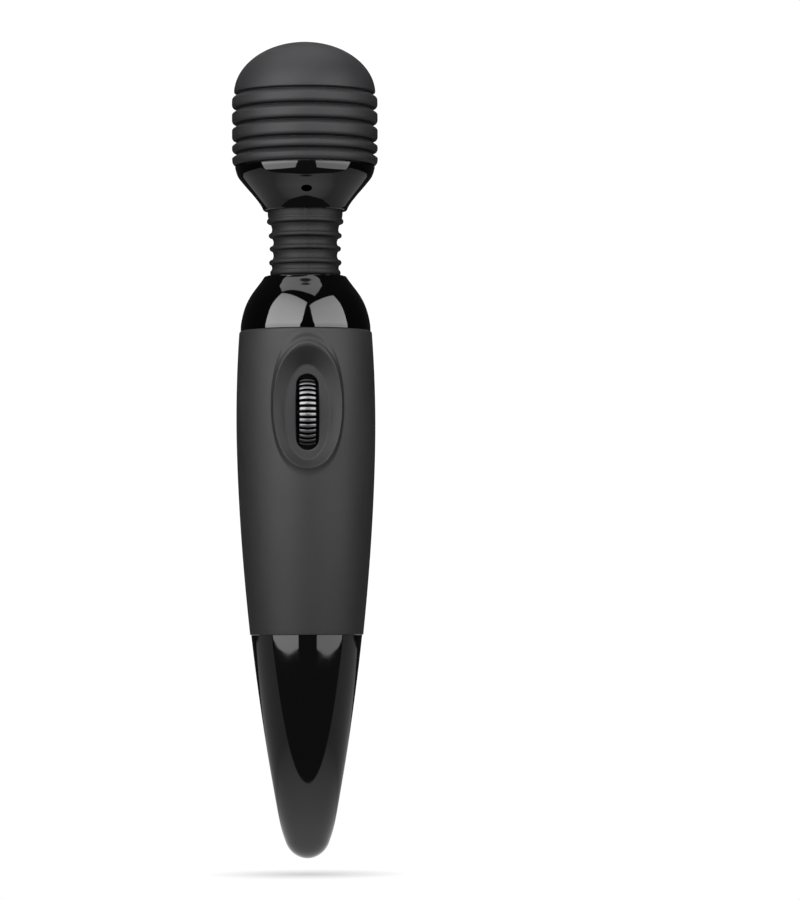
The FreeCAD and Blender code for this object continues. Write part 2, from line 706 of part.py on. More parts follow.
def motor_plate():
    """Disc that holds the motor, screwed to the posts of the cup."""
    plate = ring(3.4, PLATE_R, MOTOR_TOP_Z, PLATE_TOP_Z)
    for hole in around(post(BOSS_CIRCLE_R, 0, 1.7, MOTOR_TOP_Z, PLATE_TOP_Z), 3, 90):
        plate = plate.cut(hole)
    through = post(MOTOR_SCREW_CIRCLE_R, 0, 1.2, MOTOR_TOP_Z, PLATE_TOP_Z)
    counterbore = post(MOTOR_SCREW_CIRCLE_R, 0, 2.3, PLATE_TOP_Z - 1.5, PLATE_TOP_Z)
    for hole in around(through.fuse(counterbore), 2):
        plate = plate.cut(hole)
    return plate


def screw(circle_r, shank_r, head_r, tip_z, head_z, head_height):
    """Upright screw at a radius from the axis, with a driver recess in its head."""
    shank = post(circle_r, 0, shank_r, tip_z, head_z)
    head = post(circle_r, 0, head_r, head_z, head_z + head_height)
    recess = post(circle_r, 0, shank_r * 0.6, head_z + head_height / 2, head_z + head_height)
    return joined([shank, head]).cut(recess)


def head_screws():
    """Three screws from the motor plate down into the cup's posts."""
    one = screw(BOSS_CIRCLE_R, 1.25, 2.7, MOTOR_TOP_Z - 8, PLATE_TOP_Z, 1.6)
    return Part.makeCompound(around(one, 3, 90))


def motor_screws():
    """Two short screws that hold the motor to its plate."""
    one = screw(MOTOR_SCREW_CIRCLE_R, 1.0, 2.1, MOTOR_TOP_Z - MOTOR_CAN_WALL, PLATE_TOP_Z - 1.5, 1.3)
    return Part.makeCompound(around(one, 2))


def motor_case():
    """Drawn steel can with the front bearing hole."""
    can = ring(0, MOTOR_R, MOTOR_CAN_Z, MOTOR_TOP_Z)
    can = can.cut(ring(0, MOTOR_R - MOTOR_CAN_WALL, MOTOR_CAN_Z, MOTOR_TOP_Z - MOTOR_CAN_WALL))
    can = joined([can, ring(0, 3.0, MOTOR_TOP_Z - 3, MOTOR_TOP_Z + 1.5)])
    can = can.cut(ring(0, SHAFT_R + RUNNING_GAP, MOTOR_TOP_Z - 4, MOTOR_TOP_Z + 2))
    for hole in around(post(MOTOR_SCREW_CIRCLE_R, 0, 1.05, MOTOR_TOP_Z - 1, MOTOR_TOP_Z), 2):
        can = can.cut(hole)
    return can


def motor_magnets():
    """Two arc magnets lining the can."""
    arcs = []
    for side in (-1, 1):
        segment = ring(9.8, MOTOR_R - MOTOR_CAN_WALL - 0.05, 275.0, 295.0)
        window = box((-8.5, min(0, side * 14), 270), (8.5, max(0, side * 14), 300))
        arcs.append(segment.common(window))
    return Part.makeCompound(arcs)


def motor_end_bell():
    """Plastic end of the motor with the rear bearing."""
    bell = ring(0, MOTOR_R, MOTOR_BELL_Z, MOTOR_CAN_Z)
    return bell.cut(ring(0, SHAFT_R + RUNNING_GAP, MOTOR_BELL_Z + 0.8, MOTOR_CAN_Z))


def motor_brushes():
    """Two carbon brushes standing on the end bell beside the commutator."""
    brushes = []
    for side in (-1, 1):
        inner = side * 3.15
        outer = side * 6.5
        brushes.append(box((min(inner, outer), -1.2, MOTOR_CAN_Z), (max(inner, outer), 1.2, 273.6)))
    return Part.makeCompound(brushes)


def motor_terminals():
    """Two solder tabs under the end bell."""
    tabs = []
    for side in (-1, 1):
        x = side * LEAD_X
        tabs.append(box((x - 1, -0.3, 266.8), (x + 1, 0.3, MOTOR_BELL_Z)))
    return Part.makeCompound(tabs)


def commutator():
    """Copper commutator drum on the shaft."""
    drum = ring(SHAFT_R, 3.0, 271.2, 274.0)
    slit = box((0, -0.2, 270), (4, 0.2, 275))
    for cut in around(slit, 3, 60):
        drum = drum.cut(cut.common(ring(2.2, 4.0, 270, 275)))
    return drum


def motor_armature():
    """Three-pole laminated rotor stack."""
    low = 277.0
    high = 293.0
    hub = ring(0, 3.6, low, high)
    tooth = box((0, -1.5, low), (8.5, 1.5, high))
    rim = ring(7.9, 9.4, low, high).common(box((0, -6.3, low), (10, 6.3, high)))
    pole = tooth.fuse(rim)
    return joined([hub] + around(pole, 3)).cut(ring(0, SHAFT_R, low, high))


def armature_windings():
    """Copper coil round each pole."""
    outer = box((3.9, -3.2, 275.0), (7.0, 3.2, 295.0))
    inner = box((3.8, -1.55, 276.9), (7.1, 1.55, 293.1))
    return Part.makeCompound(around(outer.cut(inner), 3))


def motor_shaft():
    """Steel shaft from the rear bearing up to the bush in the core."""
    return ring(0, SHAFT_R, MOTOR_BELL_Z + 1.0, SHAFT_TOP_Z)


def eccentric_weight():
    """Half-round weight on a hub: its imbalance makes the head shake."""
    high = WEIGHT_Z + WEIGHT_HEIGHT
    half = ring(0, WEIGHT_R, WEIGHT_Z, high).common(box((-12, 0, WEIGHT_Z), (12, 12, high)))
    body = joined([half, ring(0, HUB_R, WEIGHT_Z, high)])
    body = body.cut(ring(0, SHAFT_R, WEIGHT_Z, high))
    return body.cut(Part.makeCylinder(SET_SCREW_R, HUB_R + 1, V(0, 0, WEIGHT_Z + 4), -BACK))


def weight_set_screw():
    """Grub screw that locks the weight to the shaft."""
    start = V(0, -SHAFT_R - 0.02, WEIGHT_Z + 4)
    return Part.makeCylinder(SET_SCREW_R, HUB_R - SHAFT_R - 0.2, start, -BACK)


def shaft_bush():
    """Bronze bush that steadies the top of the shaft."""
    return ring(SHAFT_R + RUNNING_GAP, BUSH_R, BUSH_Z, BUSH_Z + BUSH_LENGTH)


# ---------------------------------------------------------------- batteries and tail cap

CELL_PLACES = [(-CELL_OFFSET, -CELL_OFFSET), (CELL_OFFSET, -CELL_OFFSET),
               (CELL_OFFSET, CELL_OFFSET), (-CELL_OFFSET, CELL_OFFSET)]


def thread_ridge(core_r, crest_r, start_deg):
    """Helical thread ridge between a core and a crest radius."""
    root_half = 0.65
    crest_half = 0.35
    sink = 0.15 if crest_r > core_r else -0.15
    corners = [(core_r - sink, -root_half), (crest_r, -crest_half), (crest_r, crest_half),
               (core_r - sink, root_half), (core_r - sink, -root_half)]
    ridge = helical(line(corners), THREAD_PITCH, THREAD_TURNS, core_r, THREAD_Z)
    ridge.rotate(ORIGIN, UP, start_deg)
    return ridge


def battery_barrel():
    """Carrier for the four cells, with the threaded spigot that the tail cap screws on."""
    outline = [(0, SPIGOT_BOTTOM_Z), (SPIGOT_R, SPIGOT_BOTTOM_Z), (SPIGOT_R, GRIP_BOTTOM_Z),
               (BARREL_R, GRIP_BOTTOM_Z), (BARREL_R, 129.5), (BARREL_FLANGE_R, 129.5),
               (BARREL_FLANGE_R, 131.5), (BARREL_R, 131.5), (BARREL_R, BARREL_TOP_Z),
               (0, BARREL_TOP_Z), (0, SPIGOT_BOTTOM_Z)]
    body = joined([turned(line(outline)), thread_ridge(SPIGOT_R, THREAD_CREST_R, 0)])
    seal_groove = Part.makeTorus(SEAL_R, SEAL_SECTION_R, V(0, 0, SEAL_Z))
    body = body.cut(seal_groove)
    top_of_cells = CELL_Z + CELL_LENGTH
    for x, y in CELL_PLACES:
        body = body.cut(post(x, y, CELL_BORE_R, SPIGOT_BOTTOM_Z, top_of_cells + 1.0))
    body = body.cut(ring(0, 17.9, top_of_cells, top_of_cells + 1.0))
    key = PEG_HALF + 0.2
    body = body.cut(box((-key, -key, SPIGOT_BOTTOM_Z), (key, key, PEG_TOP_Z + 4)))
    for side in (-1, 1):
        x = side * CELL_OFFSET
        body = body.cut(box((x - 1.7, 10.0, top_of_cells), (x + 1.7, 11.2, BARREL_TOP_Z + 1)))
    return body


def battery_cell(index):
    """One AA cell; neighbours face opposite ways."""
    x, y = CELL_PLACES[index]
    top = CELL_Z + CELL_LENGTH
    if index % 2 == 0:
        can = post(x, y, CELL_R, CELL_Z, top - NUB_HEIGHT)
        nub = post(x, y, NUB_R, top - NUB_HEIGHT, top)
    else:
        can = post(x, y, CELL_R, CELL_Z + NUB_HEIGHT, top)
        nub = post(x, y, NUB_R, CELL_Z, CELL_Z + NUB_HEIGHT)
    return joined([can, nub])


def battery_top_contacts():
    """One bridge over the front pair and two tabs with solder tails over the rear pair."""
    low = CELL_Z + CELL_LENGTH + 0.15
    high = low + 0.5
    pieces = [box((-10.5, -10.0, low), (10.5, -5.2, high))]
    for side in (-1, 1):
        x = side * CELL_OFFSET
        pad = box((x - 2.7, 5.2, low), (x + 2.7, 10.8, high))
        tail = box((x - 1.5, 10.3, low), (x + 1.5, 10.8, 136.0))
        pieces.append(joined([pad, tail]))
    return Part.makeCompound(pieces)


def cap_seal():
    """Rubber ring between the spigot and the mouth of the cap."""
    return Part.makeTorus(SEAL_R, SEAL_SECTION_R - 0.02, V(0, 0, SEAL_Z))


def contact_carrier():
    """Disc in the cap that is keyed to the barrel, so it slides but never turns."""
    disc = ring(0, CARRIER_R, CARRIER_Z, CARRIER_Z + CARRIER_THICK)
    peg = box((-PEG_HALF, -PEG_HALF, CARRIER_Z + CARRIER_THICK), (PEG_HALF, PEG_HALF, PEG_TOP_Z))
    return joined([disc, peg])


def contact_plates():
    """Two plates that bridge the cells in pairs."""
    low = CARRIER_Z + CARRIER_THICK
    plates = []
    for side in (-1, 1):
        x = side * CELL_OFFSET
        plates.append(box((x - 3.5, -11.0, low), (x + 3.5, 11.0, low + 0.4)))
    return Part.makeCompound(plates)


def contact_springs():
    """Four small coil springs that press on the cells."""
    low = CARRIER_Z + CARRIER_THICK + 0.4
    wire_r = 0.45
    coil_r = 3.0
    turns = 2
    height = CELL_Z - low - 2 * wire_r - 0.1
    section = [Part.makeCircle(wire_r, V(coil_r, 0, 0), BACK)]
    one = helical(section, height / turns, turns, coil_r, low + wire_r + 0.05)
    springs = []
    for x, y in CELL_PLACES:
        copy = one.copy()
        copy.translate(V(x, y, 0))
        springs.append(copy)
    return Part.makeCompound(springs)


def tail_cap():
    """Gloss hollow cone with a rounded tip, a ledge for the carrier and a threaded mouth."""
    outside = curve([(0, 0), (3.0, 0.55), (6.4, 3.0), (8.9, 7.2), (11.1, 15.0), (13.7, 29.4),
                     (16.1, 43.8), (18.3, 58.2), (20.2, 72.6), (21.4, 82.2), (22.15, 88.6)])
    mouth = line([(22.15, 88.6), (21.8, CAP_TOP_Z), (CAP_ROOT_R, CAP_TOP_Z),
                  (CAP_ROOT_R, 79.0), (18.3, 77.8), (18.8, 77.7), (18.8, CLIP_Z - 0.05),
                  (18.3, CLIP_Z - 0.05), (18.3, CAP_LEDGE_Z), (16.6, CAP_LEDGE_Z), (16.6, 72.0)])
    inside = curve([(16.6, 72.0), (15.8, 58.0), (13.6, 43.8), (11.2, 29.4), (8.4, 15.0), (5.6, 7.5)])
    base = line([(5.6, 7.5), (0, 5.5), (0, 0)])
    body = turned(outside + mouth + inside + base)
    return joined([body, thread_ridge(CAP_ROOT_R, CAP_CREST_R, 180)])


def carrier_clip():
    """Split wire ring that keeps the carrier in the cap."""
    clip = ring(16.8, 18.75, CLIP_Z, CLIP_Z + CLIP_THICK)
    return clip.cut(box((14, -3, CLIP_Z - 1), (20, 3, CLIP_Z + 2)))


# ---------------------------------------------------------------- write the pieces

PIECES = {
    "head_cushion": head_cushion,
    "head_core": head_core,
    "head_cup": head_cup,
    "motor_plate": motor_plate,
    "head_screws": head_screws,
    "motor_screws": motor_screws,
    "motor_case": motor_case,
    "motor_magnets": motor_magnets,
    "motor_end_bell": motor_end_bell,
    "motor_brushes": motor_brushes,
    "motor_terminals": motor_terminals,
    "motor_leads": motor_leads,
    "shaft_bush": shaft_bush,
    "motor_shaft": motor_shaft,
    "motor_armature": motor_armature,
    "armature_windings": armature_windings,
    "commutator": commutator,
    "eccentric_weight": eccentric_weight,
    "weight_set_screw": weight_set_screw,
    "neck_upper_collar": neck_upper_collar,
    "neck_upper_cuff": neck_upper_cuff,
    "neck_spring": neck_spring,
    "neck_leads": neck_leads,
    "neck_lower_cuff": neck_lower_cuff,
    "neck_lower_collar": neck_lower_collar,
    "shoulder_collar": shoulder_collar,
    "grip_sleeve": grip_sleeve,
    "front_shell": front_shell,
    "rear_shell": rear_shell,
    "shell_screws": shell_screws,
    "thumbwheel": thumbwheel,
    "wheel_axle": wheel_axle,
    "wheel_cradle": wheel_cradle,
    "speed_pot": speed_pot,
    "pot_wiper": pot_wiper,
    "pot_pins": pot_pins,
    "circuit_board": circuit_board,
    "board_components": board_components,
    "board_screws": board_screws,
    "handle_leads": handle_leads,
    "battery_leads": battery_leads,
    "battery_barrel": battery_barrel,
    "battery_top_contacts": battery_top_contacts,
    "cap_seal": cap_seal,
    "contact_carrier": contact_carrier,
    "contact_plates": contact_plates,
    "contact_springs": contact_springs,
    "tail_cap": tail_cap,
    "carrier_clip": carrier_clip,
}

os.makedirs("parts", exist_ok=True)
for node, build in PIECES.items():
    save(node, build())
for number in range(len(RIB_CRESTS)):
    save("neck_rib_%d" % (number + 1), neck_rib(number))
for number in range(len(CELL_PLACES)):
    save("battery_cell_%d" % (number + 1), battery_cell(number))
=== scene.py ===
"""Looks of the cordless wand massager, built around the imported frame. Metres, Z up the wand."""
import json
import math

import bmesh
import bpy
from mathutils import Matrix, Vector


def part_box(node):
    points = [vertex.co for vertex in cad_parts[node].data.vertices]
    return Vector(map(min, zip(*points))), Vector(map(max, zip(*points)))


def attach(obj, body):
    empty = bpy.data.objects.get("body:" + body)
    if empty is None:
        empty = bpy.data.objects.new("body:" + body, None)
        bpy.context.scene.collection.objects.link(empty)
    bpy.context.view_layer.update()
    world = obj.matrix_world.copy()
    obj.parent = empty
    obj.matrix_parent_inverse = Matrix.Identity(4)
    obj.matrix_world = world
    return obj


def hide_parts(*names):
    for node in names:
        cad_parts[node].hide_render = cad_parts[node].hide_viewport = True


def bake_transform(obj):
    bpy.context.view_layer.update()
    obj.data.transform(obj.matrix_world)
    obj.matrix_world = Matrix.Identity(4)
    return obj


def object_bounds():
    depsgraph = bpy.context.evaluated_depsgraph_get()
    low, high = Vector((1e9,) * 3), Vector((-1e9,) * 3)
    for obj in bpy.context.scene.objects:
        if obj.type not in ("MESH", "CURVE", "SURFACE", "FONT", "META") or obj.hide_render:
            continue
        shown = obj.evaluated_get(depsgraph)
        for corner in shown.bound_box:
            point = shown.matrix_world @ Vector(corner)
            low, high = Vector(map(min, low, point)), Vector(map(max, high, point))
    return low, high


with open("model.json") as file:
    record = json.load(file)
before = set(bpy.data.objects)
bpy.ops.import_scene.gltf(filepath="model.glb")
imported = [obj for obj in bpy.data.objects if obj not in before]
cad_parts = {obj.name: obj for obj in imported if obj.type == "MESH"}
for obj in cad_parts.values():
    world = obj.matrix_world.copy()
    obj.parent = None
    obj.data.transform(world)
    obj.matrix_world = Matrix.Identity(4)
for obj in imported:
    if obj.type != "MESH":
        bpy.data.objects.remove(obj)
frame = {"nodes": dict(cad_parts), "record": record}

cad_low, cad_high = [list(corner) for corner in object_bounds()]
TIP = cad_low[2]
MM = 0.001
# Columns round each polished part, enough to keep its reflections straight.
GLOSS_SEGMENTS = 320


def height(z):
    """Height in metres of a level given in millimetres above the wand's tip."""
    return TIP + z * MM


# ---------------------------------------------------------------- lathe work

def shade(mesh, sharp_deg, turn_outwards=False):
    """Smooth shading with crisp edges above an angle; faces can be turned outwards first."""
    limit = math.radians(sharp_deg)
    work = bmesh.new()
    work.from_mesh(mesh)
    if turn_outwards:
        bmesh.ops.recalc_face_normals(work, faces=work.faces)
    for face in work.faces:
        face.smooth = True
    for edge in work.edges:
        edge.smooth = len(edge.link_faces) == 2 and edge.calc_face_angle(0) < limit
    work.to_mesh(mesh)
    work.free()


def finish_mesh(name, mesh, sharp_deg=35):
    """Link a mesh as an object, with its faces outwards and its edges crisp above an angle."""
    mesh.update()
    obj = bpy.data.objects.new(name, mesh)
    bpy.context.scene.collection.objects.link(obj)
    shade(mesh, sharp_deg, turn_outwards=True)
    return obj


def lathe(name, outline, segments=224, sharp_deg=35, seam=0.0):
    """Turn a closed outline of (radius, height) millimetre points about the wand's axis.

    A seam raises a thin flash line down the front and the back.
    """
    verts = []
    faces = []
    rows = []
    for r, z in outline:
        if r < 1e-6:
            rows.append([len(verts)])
            verts.append((0, 0, height(z)))
            continue
        row = []
        for step in range(segments):
            angle = 2 * math.pi * (step + 0.5) / segments
            row.append(len(verts))
            flash = seam if step in (0, segments // 2, segments // 2 - 1, segments - 1) else 0.0
            reach = (r + flash) * MM
            verts.append((reach * math.sin(angle), -reach * math.cos(angle), height(z)))
        rows.append(row)
    for low, high in zip(rows, rows[1:] + rows[:1]):
        if len(low) == 1 and len(high) == 1:
            continue
        for step in range(segments):
            after = (step + 1) % segments
            if len(low) == 1:
                faces.append((low[0], high[after], high[step]))
            elif len(high) == 1:
                faces.append((low[step], low[after], high[0]))
            else:
                faces.append((low[step], low[after], high[after], high[step]))
    mesh = bpy.data.meshes.new(name)
    mesh.from_pydata(verts, [], faces)
    return finish_mesh(name, mesh, sharp_deg)


def smooth_through(points, per_span):
    """Centripetal Catmull-Rom points through given outline points."""
    pts = [Vector(p) for p in points]
    pts = [pts[0] * 2 - pts[1]] + pts + [pts[-1] * 2 - pts[-2]]
    result = []
    for p0, p1, p2, p3 in zip(pts, pts[1:], pts[2:], pts[3:]):
        t1 = max((p1 - p0).length, 1e-6) ** 0.5
        t2 = t1 + max((p2 - p1).length, 1e-6) ** 0.5
        t3 = t2 + max((p3 - p2).length, 1e-6) ** 0.5
        for step in range(per_span):
            t = t1 + (t2 - t1) * step / per_span
            a1 = p0 * (1 - t / t1) + p1 * (t / t1)
            a2 = p1 * ((t2 - t) / (t2 - t1)) + p2 * ((t - t1) / (t2 - t1))
            a3 = p2 * ((t3 - t) / (t3 - t2)) + p3 * ((t - t2) / (t3 - t2))
            b1 = a1 * ((t2 - t) / t2) + a2 * (t / t2)
            b2 = a2 * ((t3 - t) / (t3 - t1)) + a3 * ((t - t1) / (t3 - t1))
            result.append(tuple(b1 * ((t2 - t) / (t2 - t1)) + b2 * ((t - t1) / (t2 - t1))))
    result.append(tuple(pts[-2]))
    return result


def rounded(corners):
    """Outline through (radius, height, corner radius) points, with each corner rounded off."""
    steps = 5
    result = []
    count = len(corners)
    for index, (r, z, fillet) in enumerate(corners):
        here = Vector((r, z))
        if fillet <= 0:
            result.append((r, z))
            continue
        before = Vector(corners[index - 1][:2]) - here
        after = Vector(corners[(index + 1) % count][:2]) - here
        reach = min(fillet, before.length * 0.49, after.length * 0.49)
        first = here + before.normalized() * reach
        last = here + after.normalized() * reach
        for step in range(steps + 1):
            t = step / steps
            point = first * (1 - t) ** 2 + here * (2 * t * (1 - t)) + last * t ** 2
            result.append(tuple(point))
    return result


# ---------------------------------------------------------------- head

LAND_R = 29.2
GROOVE_R = 26.95
GROOVES = [281.2, 286.0, 292.7, 299.0]
# The dome is an ellipse about DOME_Z: (half width, height) outside and inside.
DOME_Z = 305.4
DOME_LOW_Z = 307.0
DOME_OUTER = (28.4, 21.0)
DOME_INNER = (25.9, 18.3)


def head_cushion_skin():
    """Silicone cap: round-cornered lands between sharp grooves, a lip below and a dome above."""
    corners = [(25.9, 276.8, 0), (28.3, 276.8, 0.6), (29.1, 278.0, 1.0), (LAND_R, 279.6, 0.8)]
    for z in GROOVES:
        corners += [(LAND_R, z - 1.5, 0.7), (28.55, z - 0.92, 0.08), (28.3, z - 0.78, 0.08),
                    (GROOVE_R, z + 0.1, 0.12), (GROOVE_R, z + 0.3, 0.08), (28.72, z + 0.92, 0.3),
                    (LAND_R, z + 1.8, 0.8)]
    corners += [(29.15, 303.6, 0.9), (28.5, 304.35, 0.08), (28.25, 304.5, 0.08),
                (GROOVE_R, 305.3, 0.12), (GROOVE_R, 305.5, 0.08), (28.3, 306.1, 0.3),
                (28.33, DOME_LOW_Z, 0)]
    side = rounded(corners)[:-1]
    dome = []
    start = math.asin((DOME_LOW_Z - DOME_Z) / DOME_OUTER[1])
    steps = 46
    for step in range(steps + 1):
        angle = start + (math.pi / 2 - start) * step / steps
        dome.append((DOME_OUTER[0] * math.cos(angle), DOME_Z + DOME_OUTER[1] * math.sin(angle)))
    dome[-1] = (0, DOME_Z + DOME_OUTER[1])
    inner = [(0, DOME_Z + DOME_INNER[1])]
    steps = 12
    for step in range(1, steps + 1):
        angle = math.pi / 2 * (1 - step / steps)
        inner.append((DOME_INNER[0] * math.cos(angle), DOME_Z + DOME_INNER[1] * math.sin(angle)))
    skin = lathe("head_cushion_skin", side + dome + inner, sharp_deg=50)
    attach(skin, "head")
    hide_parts("head_cushion")
    return skin


def cutter(name, mesh):
    """Helper object for a boolean cut; carve() removes it."""
    obj = bpy.data.objects.new(name, mesh)
    bpy.context.scene.collection.objects.link(obj)
    return obj


def carve(obj, tool):
    """Cut the tool out of the object for good, and remove the tool."""
    modifier = obj.modifiers.new("cut", "BOOLEAN")
    modifier.operation = "DIFFERENCE"
    modifier.solver = "EXACT"
    modifier.object = tool
    graph = bpy.context.evaluated_depsgraph_get()
    mesh = bpy.data.meshes.new_from_object(obj.evaluated_get(graph))
    obj.modifiers.clear()
    old = obj.data
    obj.data = mesh
    bpy.data.meshes.remove(old)
    bpy.data.objects.remove(tool)


VENT_R = 2.2
VENT_SQUASH = 0.75
VENT_LENGTH = 9
VENT_Y = -21.5
VENT_Z = 265.9
CUP_SLOPE_DEG = 44


def vent_tool():
    """Oval bar, square to the cup's flared wall, that cuts the vent hole."""
    mesh = bpy.data.meshes.new("vent_bore")
    work = bmesh.new()
    bmesh.ops.create_cone(work, cap_ends=True, segments=64, radius1=VENT_R * MM,
                          radius2=VENT_R * MM, depth=VENT_LENGTH * MM)
    work.transform(Matrix.Diagonal((1, VENT_SQUASH, 1, 1)))
    work.transform(Matrix.Rotation(math.radians(CUP_SLOPE_DEG) - math.pi / 2, 4, "X"))
    bmesh.ops.translate(work, verts=work.verts, vec=(0, VENT_Y * MM, height(VENT_Z)))
    work.to_mesh(mesh)
    work.free()
    return cutter("vent_bore", mesh)


def head_cup_gloss():
    """Polished cup: flared bowl with a bevelled foot and a small vent hole."""
    wall = smooth_through([(16.75, 258.9), (17.05, 259.6), (17.45, 260.4), (17.95, 261.25),
                           (18.55, 262.15), (19.55, 263.45), (21.45, 265.75), (23.5, 268.1),
                           (25.5, 270.5), (26.5, 271.8), (27.25, 273.3), (27.8, 275.1),
                           (28.0, 276.2)], 8)
    top = [(27.6, 276.35), (25.9, 276.35), (23.7, 276.35), (23.7, 283.0), (21.9, 283.0)]
    inside = [(21.9, 270.0), (19.5, 267.4), (17.2, 265.2), (16.5, 264.6), (16.5, 261.5),
              (15.2, 261.5), (15.2, 258.85), (15.45, 258.6), (16.3, 258.6)]
    cup = lathe("head_cup_gloss", wall + top + inside, segments=GLOSS_SEGMENTS)
    carve(cup, vent_tool())
    shade(cup.data, 30)
    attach(cup, "head")
    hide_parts("head_cup")
    return cup


POST_CIRCLE_R = 18.5
POST_FOOT_R = 3.2
POST_TOP_R = 2.9
POST_LENGTH = 33.5
POST_MIDDLE_Z = 284.6


def motor_posts():
    """Three posts inside the cup that carry the motor plate."""
    posts = []
    for index in range(3):
        angle = math.radians(90 + 120 * index)
        work = bmesh.new()
        bmesh.ops.create_cone(work, cap_ends=True, segments=32, radius1=POST_FOOT_R * MM,
                              radius2=POST_TOP_R * MM, depth=POST_LENGTH * MM)
        reach = POST_CIRCLE_R * MM
        centre = Vector((reach * math.cos(angle), reach * math.sin(angle), height(POST_MIDDLE_Z)))
        bmesh.ops.translate(work, verts=work.verts, vec=centre)
        mesh = bpy.data.meshes.new("motor_post")
        work.to_mesh(mesh)
        work.free()
        post = finish_mesh("motor_post_%d" % (index + 1), mesh)
        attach(post, "head")
        posts.append(post)
    return posts


# ---------------------------------------------------------------- neck bellows

NECK_CHAIN = ["handle", "neck_link_1", "neck_link_2", "neck_link_3", "head"]
# (radius, height) of each rib's crest and of each hollow between two ribs.
RIBS = [(14.1, 233.7), (14.5, 237.9), (14.3, 243.4), (14.65, 248.6), (15.35, 254.2)]
VALLEYS = [(13.35, 235.8), (12.75, 240.6), (12.7, 245.8), (13.3, 251.0)]
FOOT_EDGE = (13.55, 232.5)
BELLOWS_IN = 11.3
BELLOWS_SEAM = 0.12
RIB_NOSE = 1.05
RIB_FLANK = 0.72
HOLLOW_CURVE = 1.8
RIB_STEPS = 8
# Height of the plain band at either end of a span, so that two spans meet face to face.
SPAN_END = 0.02


def rib_side(valley, crest):
    """Outline from a valley up to the crest of a rib: a wide hollow, a short flank, a round nose."""
    valley_r, valley_z = valley
    crest_r, crest_z = crest
    up = 1 if crest_z > valley_z else -1
    foot_z = crest_z - up * RIB_NOSE
    foot_r = crest_r - RIB_FLANK * (crest_r - valley_r)
    hollow = []
    for step in range(RIB_STEPS):
        t = step / RIB_STEPS
        hollow.append((valley_r + (foot_r - valley_r) * t ** HOLLOW_CURVE,
                       valley_z + (foot_z - valley_z) * t))
    cap = []
    for step in range(RIB_STEPS + 1):
        angle = math.pi / 2 * step / RIB_STEPS
        cap.append((foot_r + (crest_r - foot_r) * math.sin(angle),
                    crest_z - up * RIB_NOSE * math.cos(angle)))
    return hollow + cap


def bellows_span(index):
    """Outline from one crest over the valley to the next, upwards."""
    down = rib_side(VALLEYS[index], RIBS[index])[::-1]
    up = rib_side(VALLEYS[index], RIBS[index + 1])
    return down[:-1] + up


def bellows_piece(name, outer):
    """Closed ring of bellows across one joint of the neck."""
    low = outer[0]
    high = outer[-1]
    band = [low, (low[0], low[1] + SPAN_END)] + outer[1:-1]
    band += [(high[0], high[1] - SPAN_END), high]
    inner = []
    steps = 8
    for step in range(steps + 1):
        inner.append((BELLOWS_IN, high[1] + (low[1] - high[1]) * step / steps))
    piece = lathe(name, band + inner, segments=256, sharp_deg=60, seam=BELLOWS_SEAM)
    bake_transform(piece)
    return piece


def neck_bellows():
    """The bellows as four blended spans that meet on the crests, plus its foot and cuff."""
    foot = [(14.5, 228.4), (14.5, 231.6), FOOT_EDGE]
    foot_nose = rib_side(FOOT_EDGE, RIBS[0])[RIB_STEPS:-1]
    lower = foot + foot_nose + bellows_span(0)
    cuff = [(14.75, 255.5), (14.85, 256.0), (14.95, 256.5), (15.0, 257.2), (15.0, 261.4)]
    upper_nose = [(15.3, 254.7), (15.1, 255.1)]
    upper = bellows_span(3) + upper_nose + cuff
    spans = [lower, bellows_span(1), bellows_span(2), upper]
    names = ["bellows_foot", "bellows_low", "bellows_high", "bellows_cuff"]
    pieces = []
    for index, (name, outer) in enumerate(zip(names, spans)):
        pieces.append(bellows_piece(name, outer))
    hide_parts("neck_lower_cuff", "neck_rib_1")
    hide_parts("neck_rib_2")
    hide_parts("neck_rib_3")
    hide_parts("neck_upper_cuff")
    return pieces


def swept_wire(name, centres, across, up, wire_r):
    """Round wire through a run of points, closed at both ends, with section axes for each point."""
    sides = 12
    verts = []
    faces = []
    for centre, right, top in zip(centres, across, up):
        for step in range(sides):
            angle = 2 * math.pi * step / sides
            verts.append(centre + (right * math.cos(angle) + top * math.sin(angle)) * wire_r)
    for row in range(len(centres) - 1):
        for step in range(sides):
            here = row * sides + step
            beside = row * sides + (step + 1) % sides
            faces.append((here, beside, beside + sides, here + sides))
    faces.append(tuple(range(sides)))
    last = (len(centres) - 1) * sides
    faces.append(tuple(last + step for step in range(sides)))
    mesh = bpy.data.meshes.new(name)
    mesh.from_pydata([tuple(vert) for vert in verts], [], faces)
    return finish_mesh(name, mesh, sharp_deg=50)


SPRING_R = 9.5
SPRING_WIRE_R = 0.85
SPRING_Z = (227.7, 262.2)
SPRING_PITCH = 3.49
SPRING_STEPS_A_TURN = 36
LEAD_R = 0.78
LEAD_X = 3.0
LEAD_Z = (231.45, 261.55)


def coil_run(name, low, high):
    """The neck spring's wire between two heights."""
    steps = round((high - low) / SPRING_PITCH * SPRING_STEPS_A_TURN)
    rise = SPRING_PITCH / (2 * math.pi)
    centres = []
    across = []
    up = []
    for step in range(steps + 1):
        z = low + (high - low) * step / steps
        angle = 2 * math.pi * (z - SPRING_Z[0]) / SPRING_PITCH
        out = Vector((math.cos(angle), math.sin(angle), 0))
        along = Vector((-out.y * SPRING_R, out.x * SPRING_R, rise)).normalized()
        centres.append(out * SPRING_R * MM + Vector((0, 0, height(z))))
        across.append(out)
        up.append(along.cross(out))
    return swept_wire(name, centres, across, up, SPRING_WIRE_R * MM)


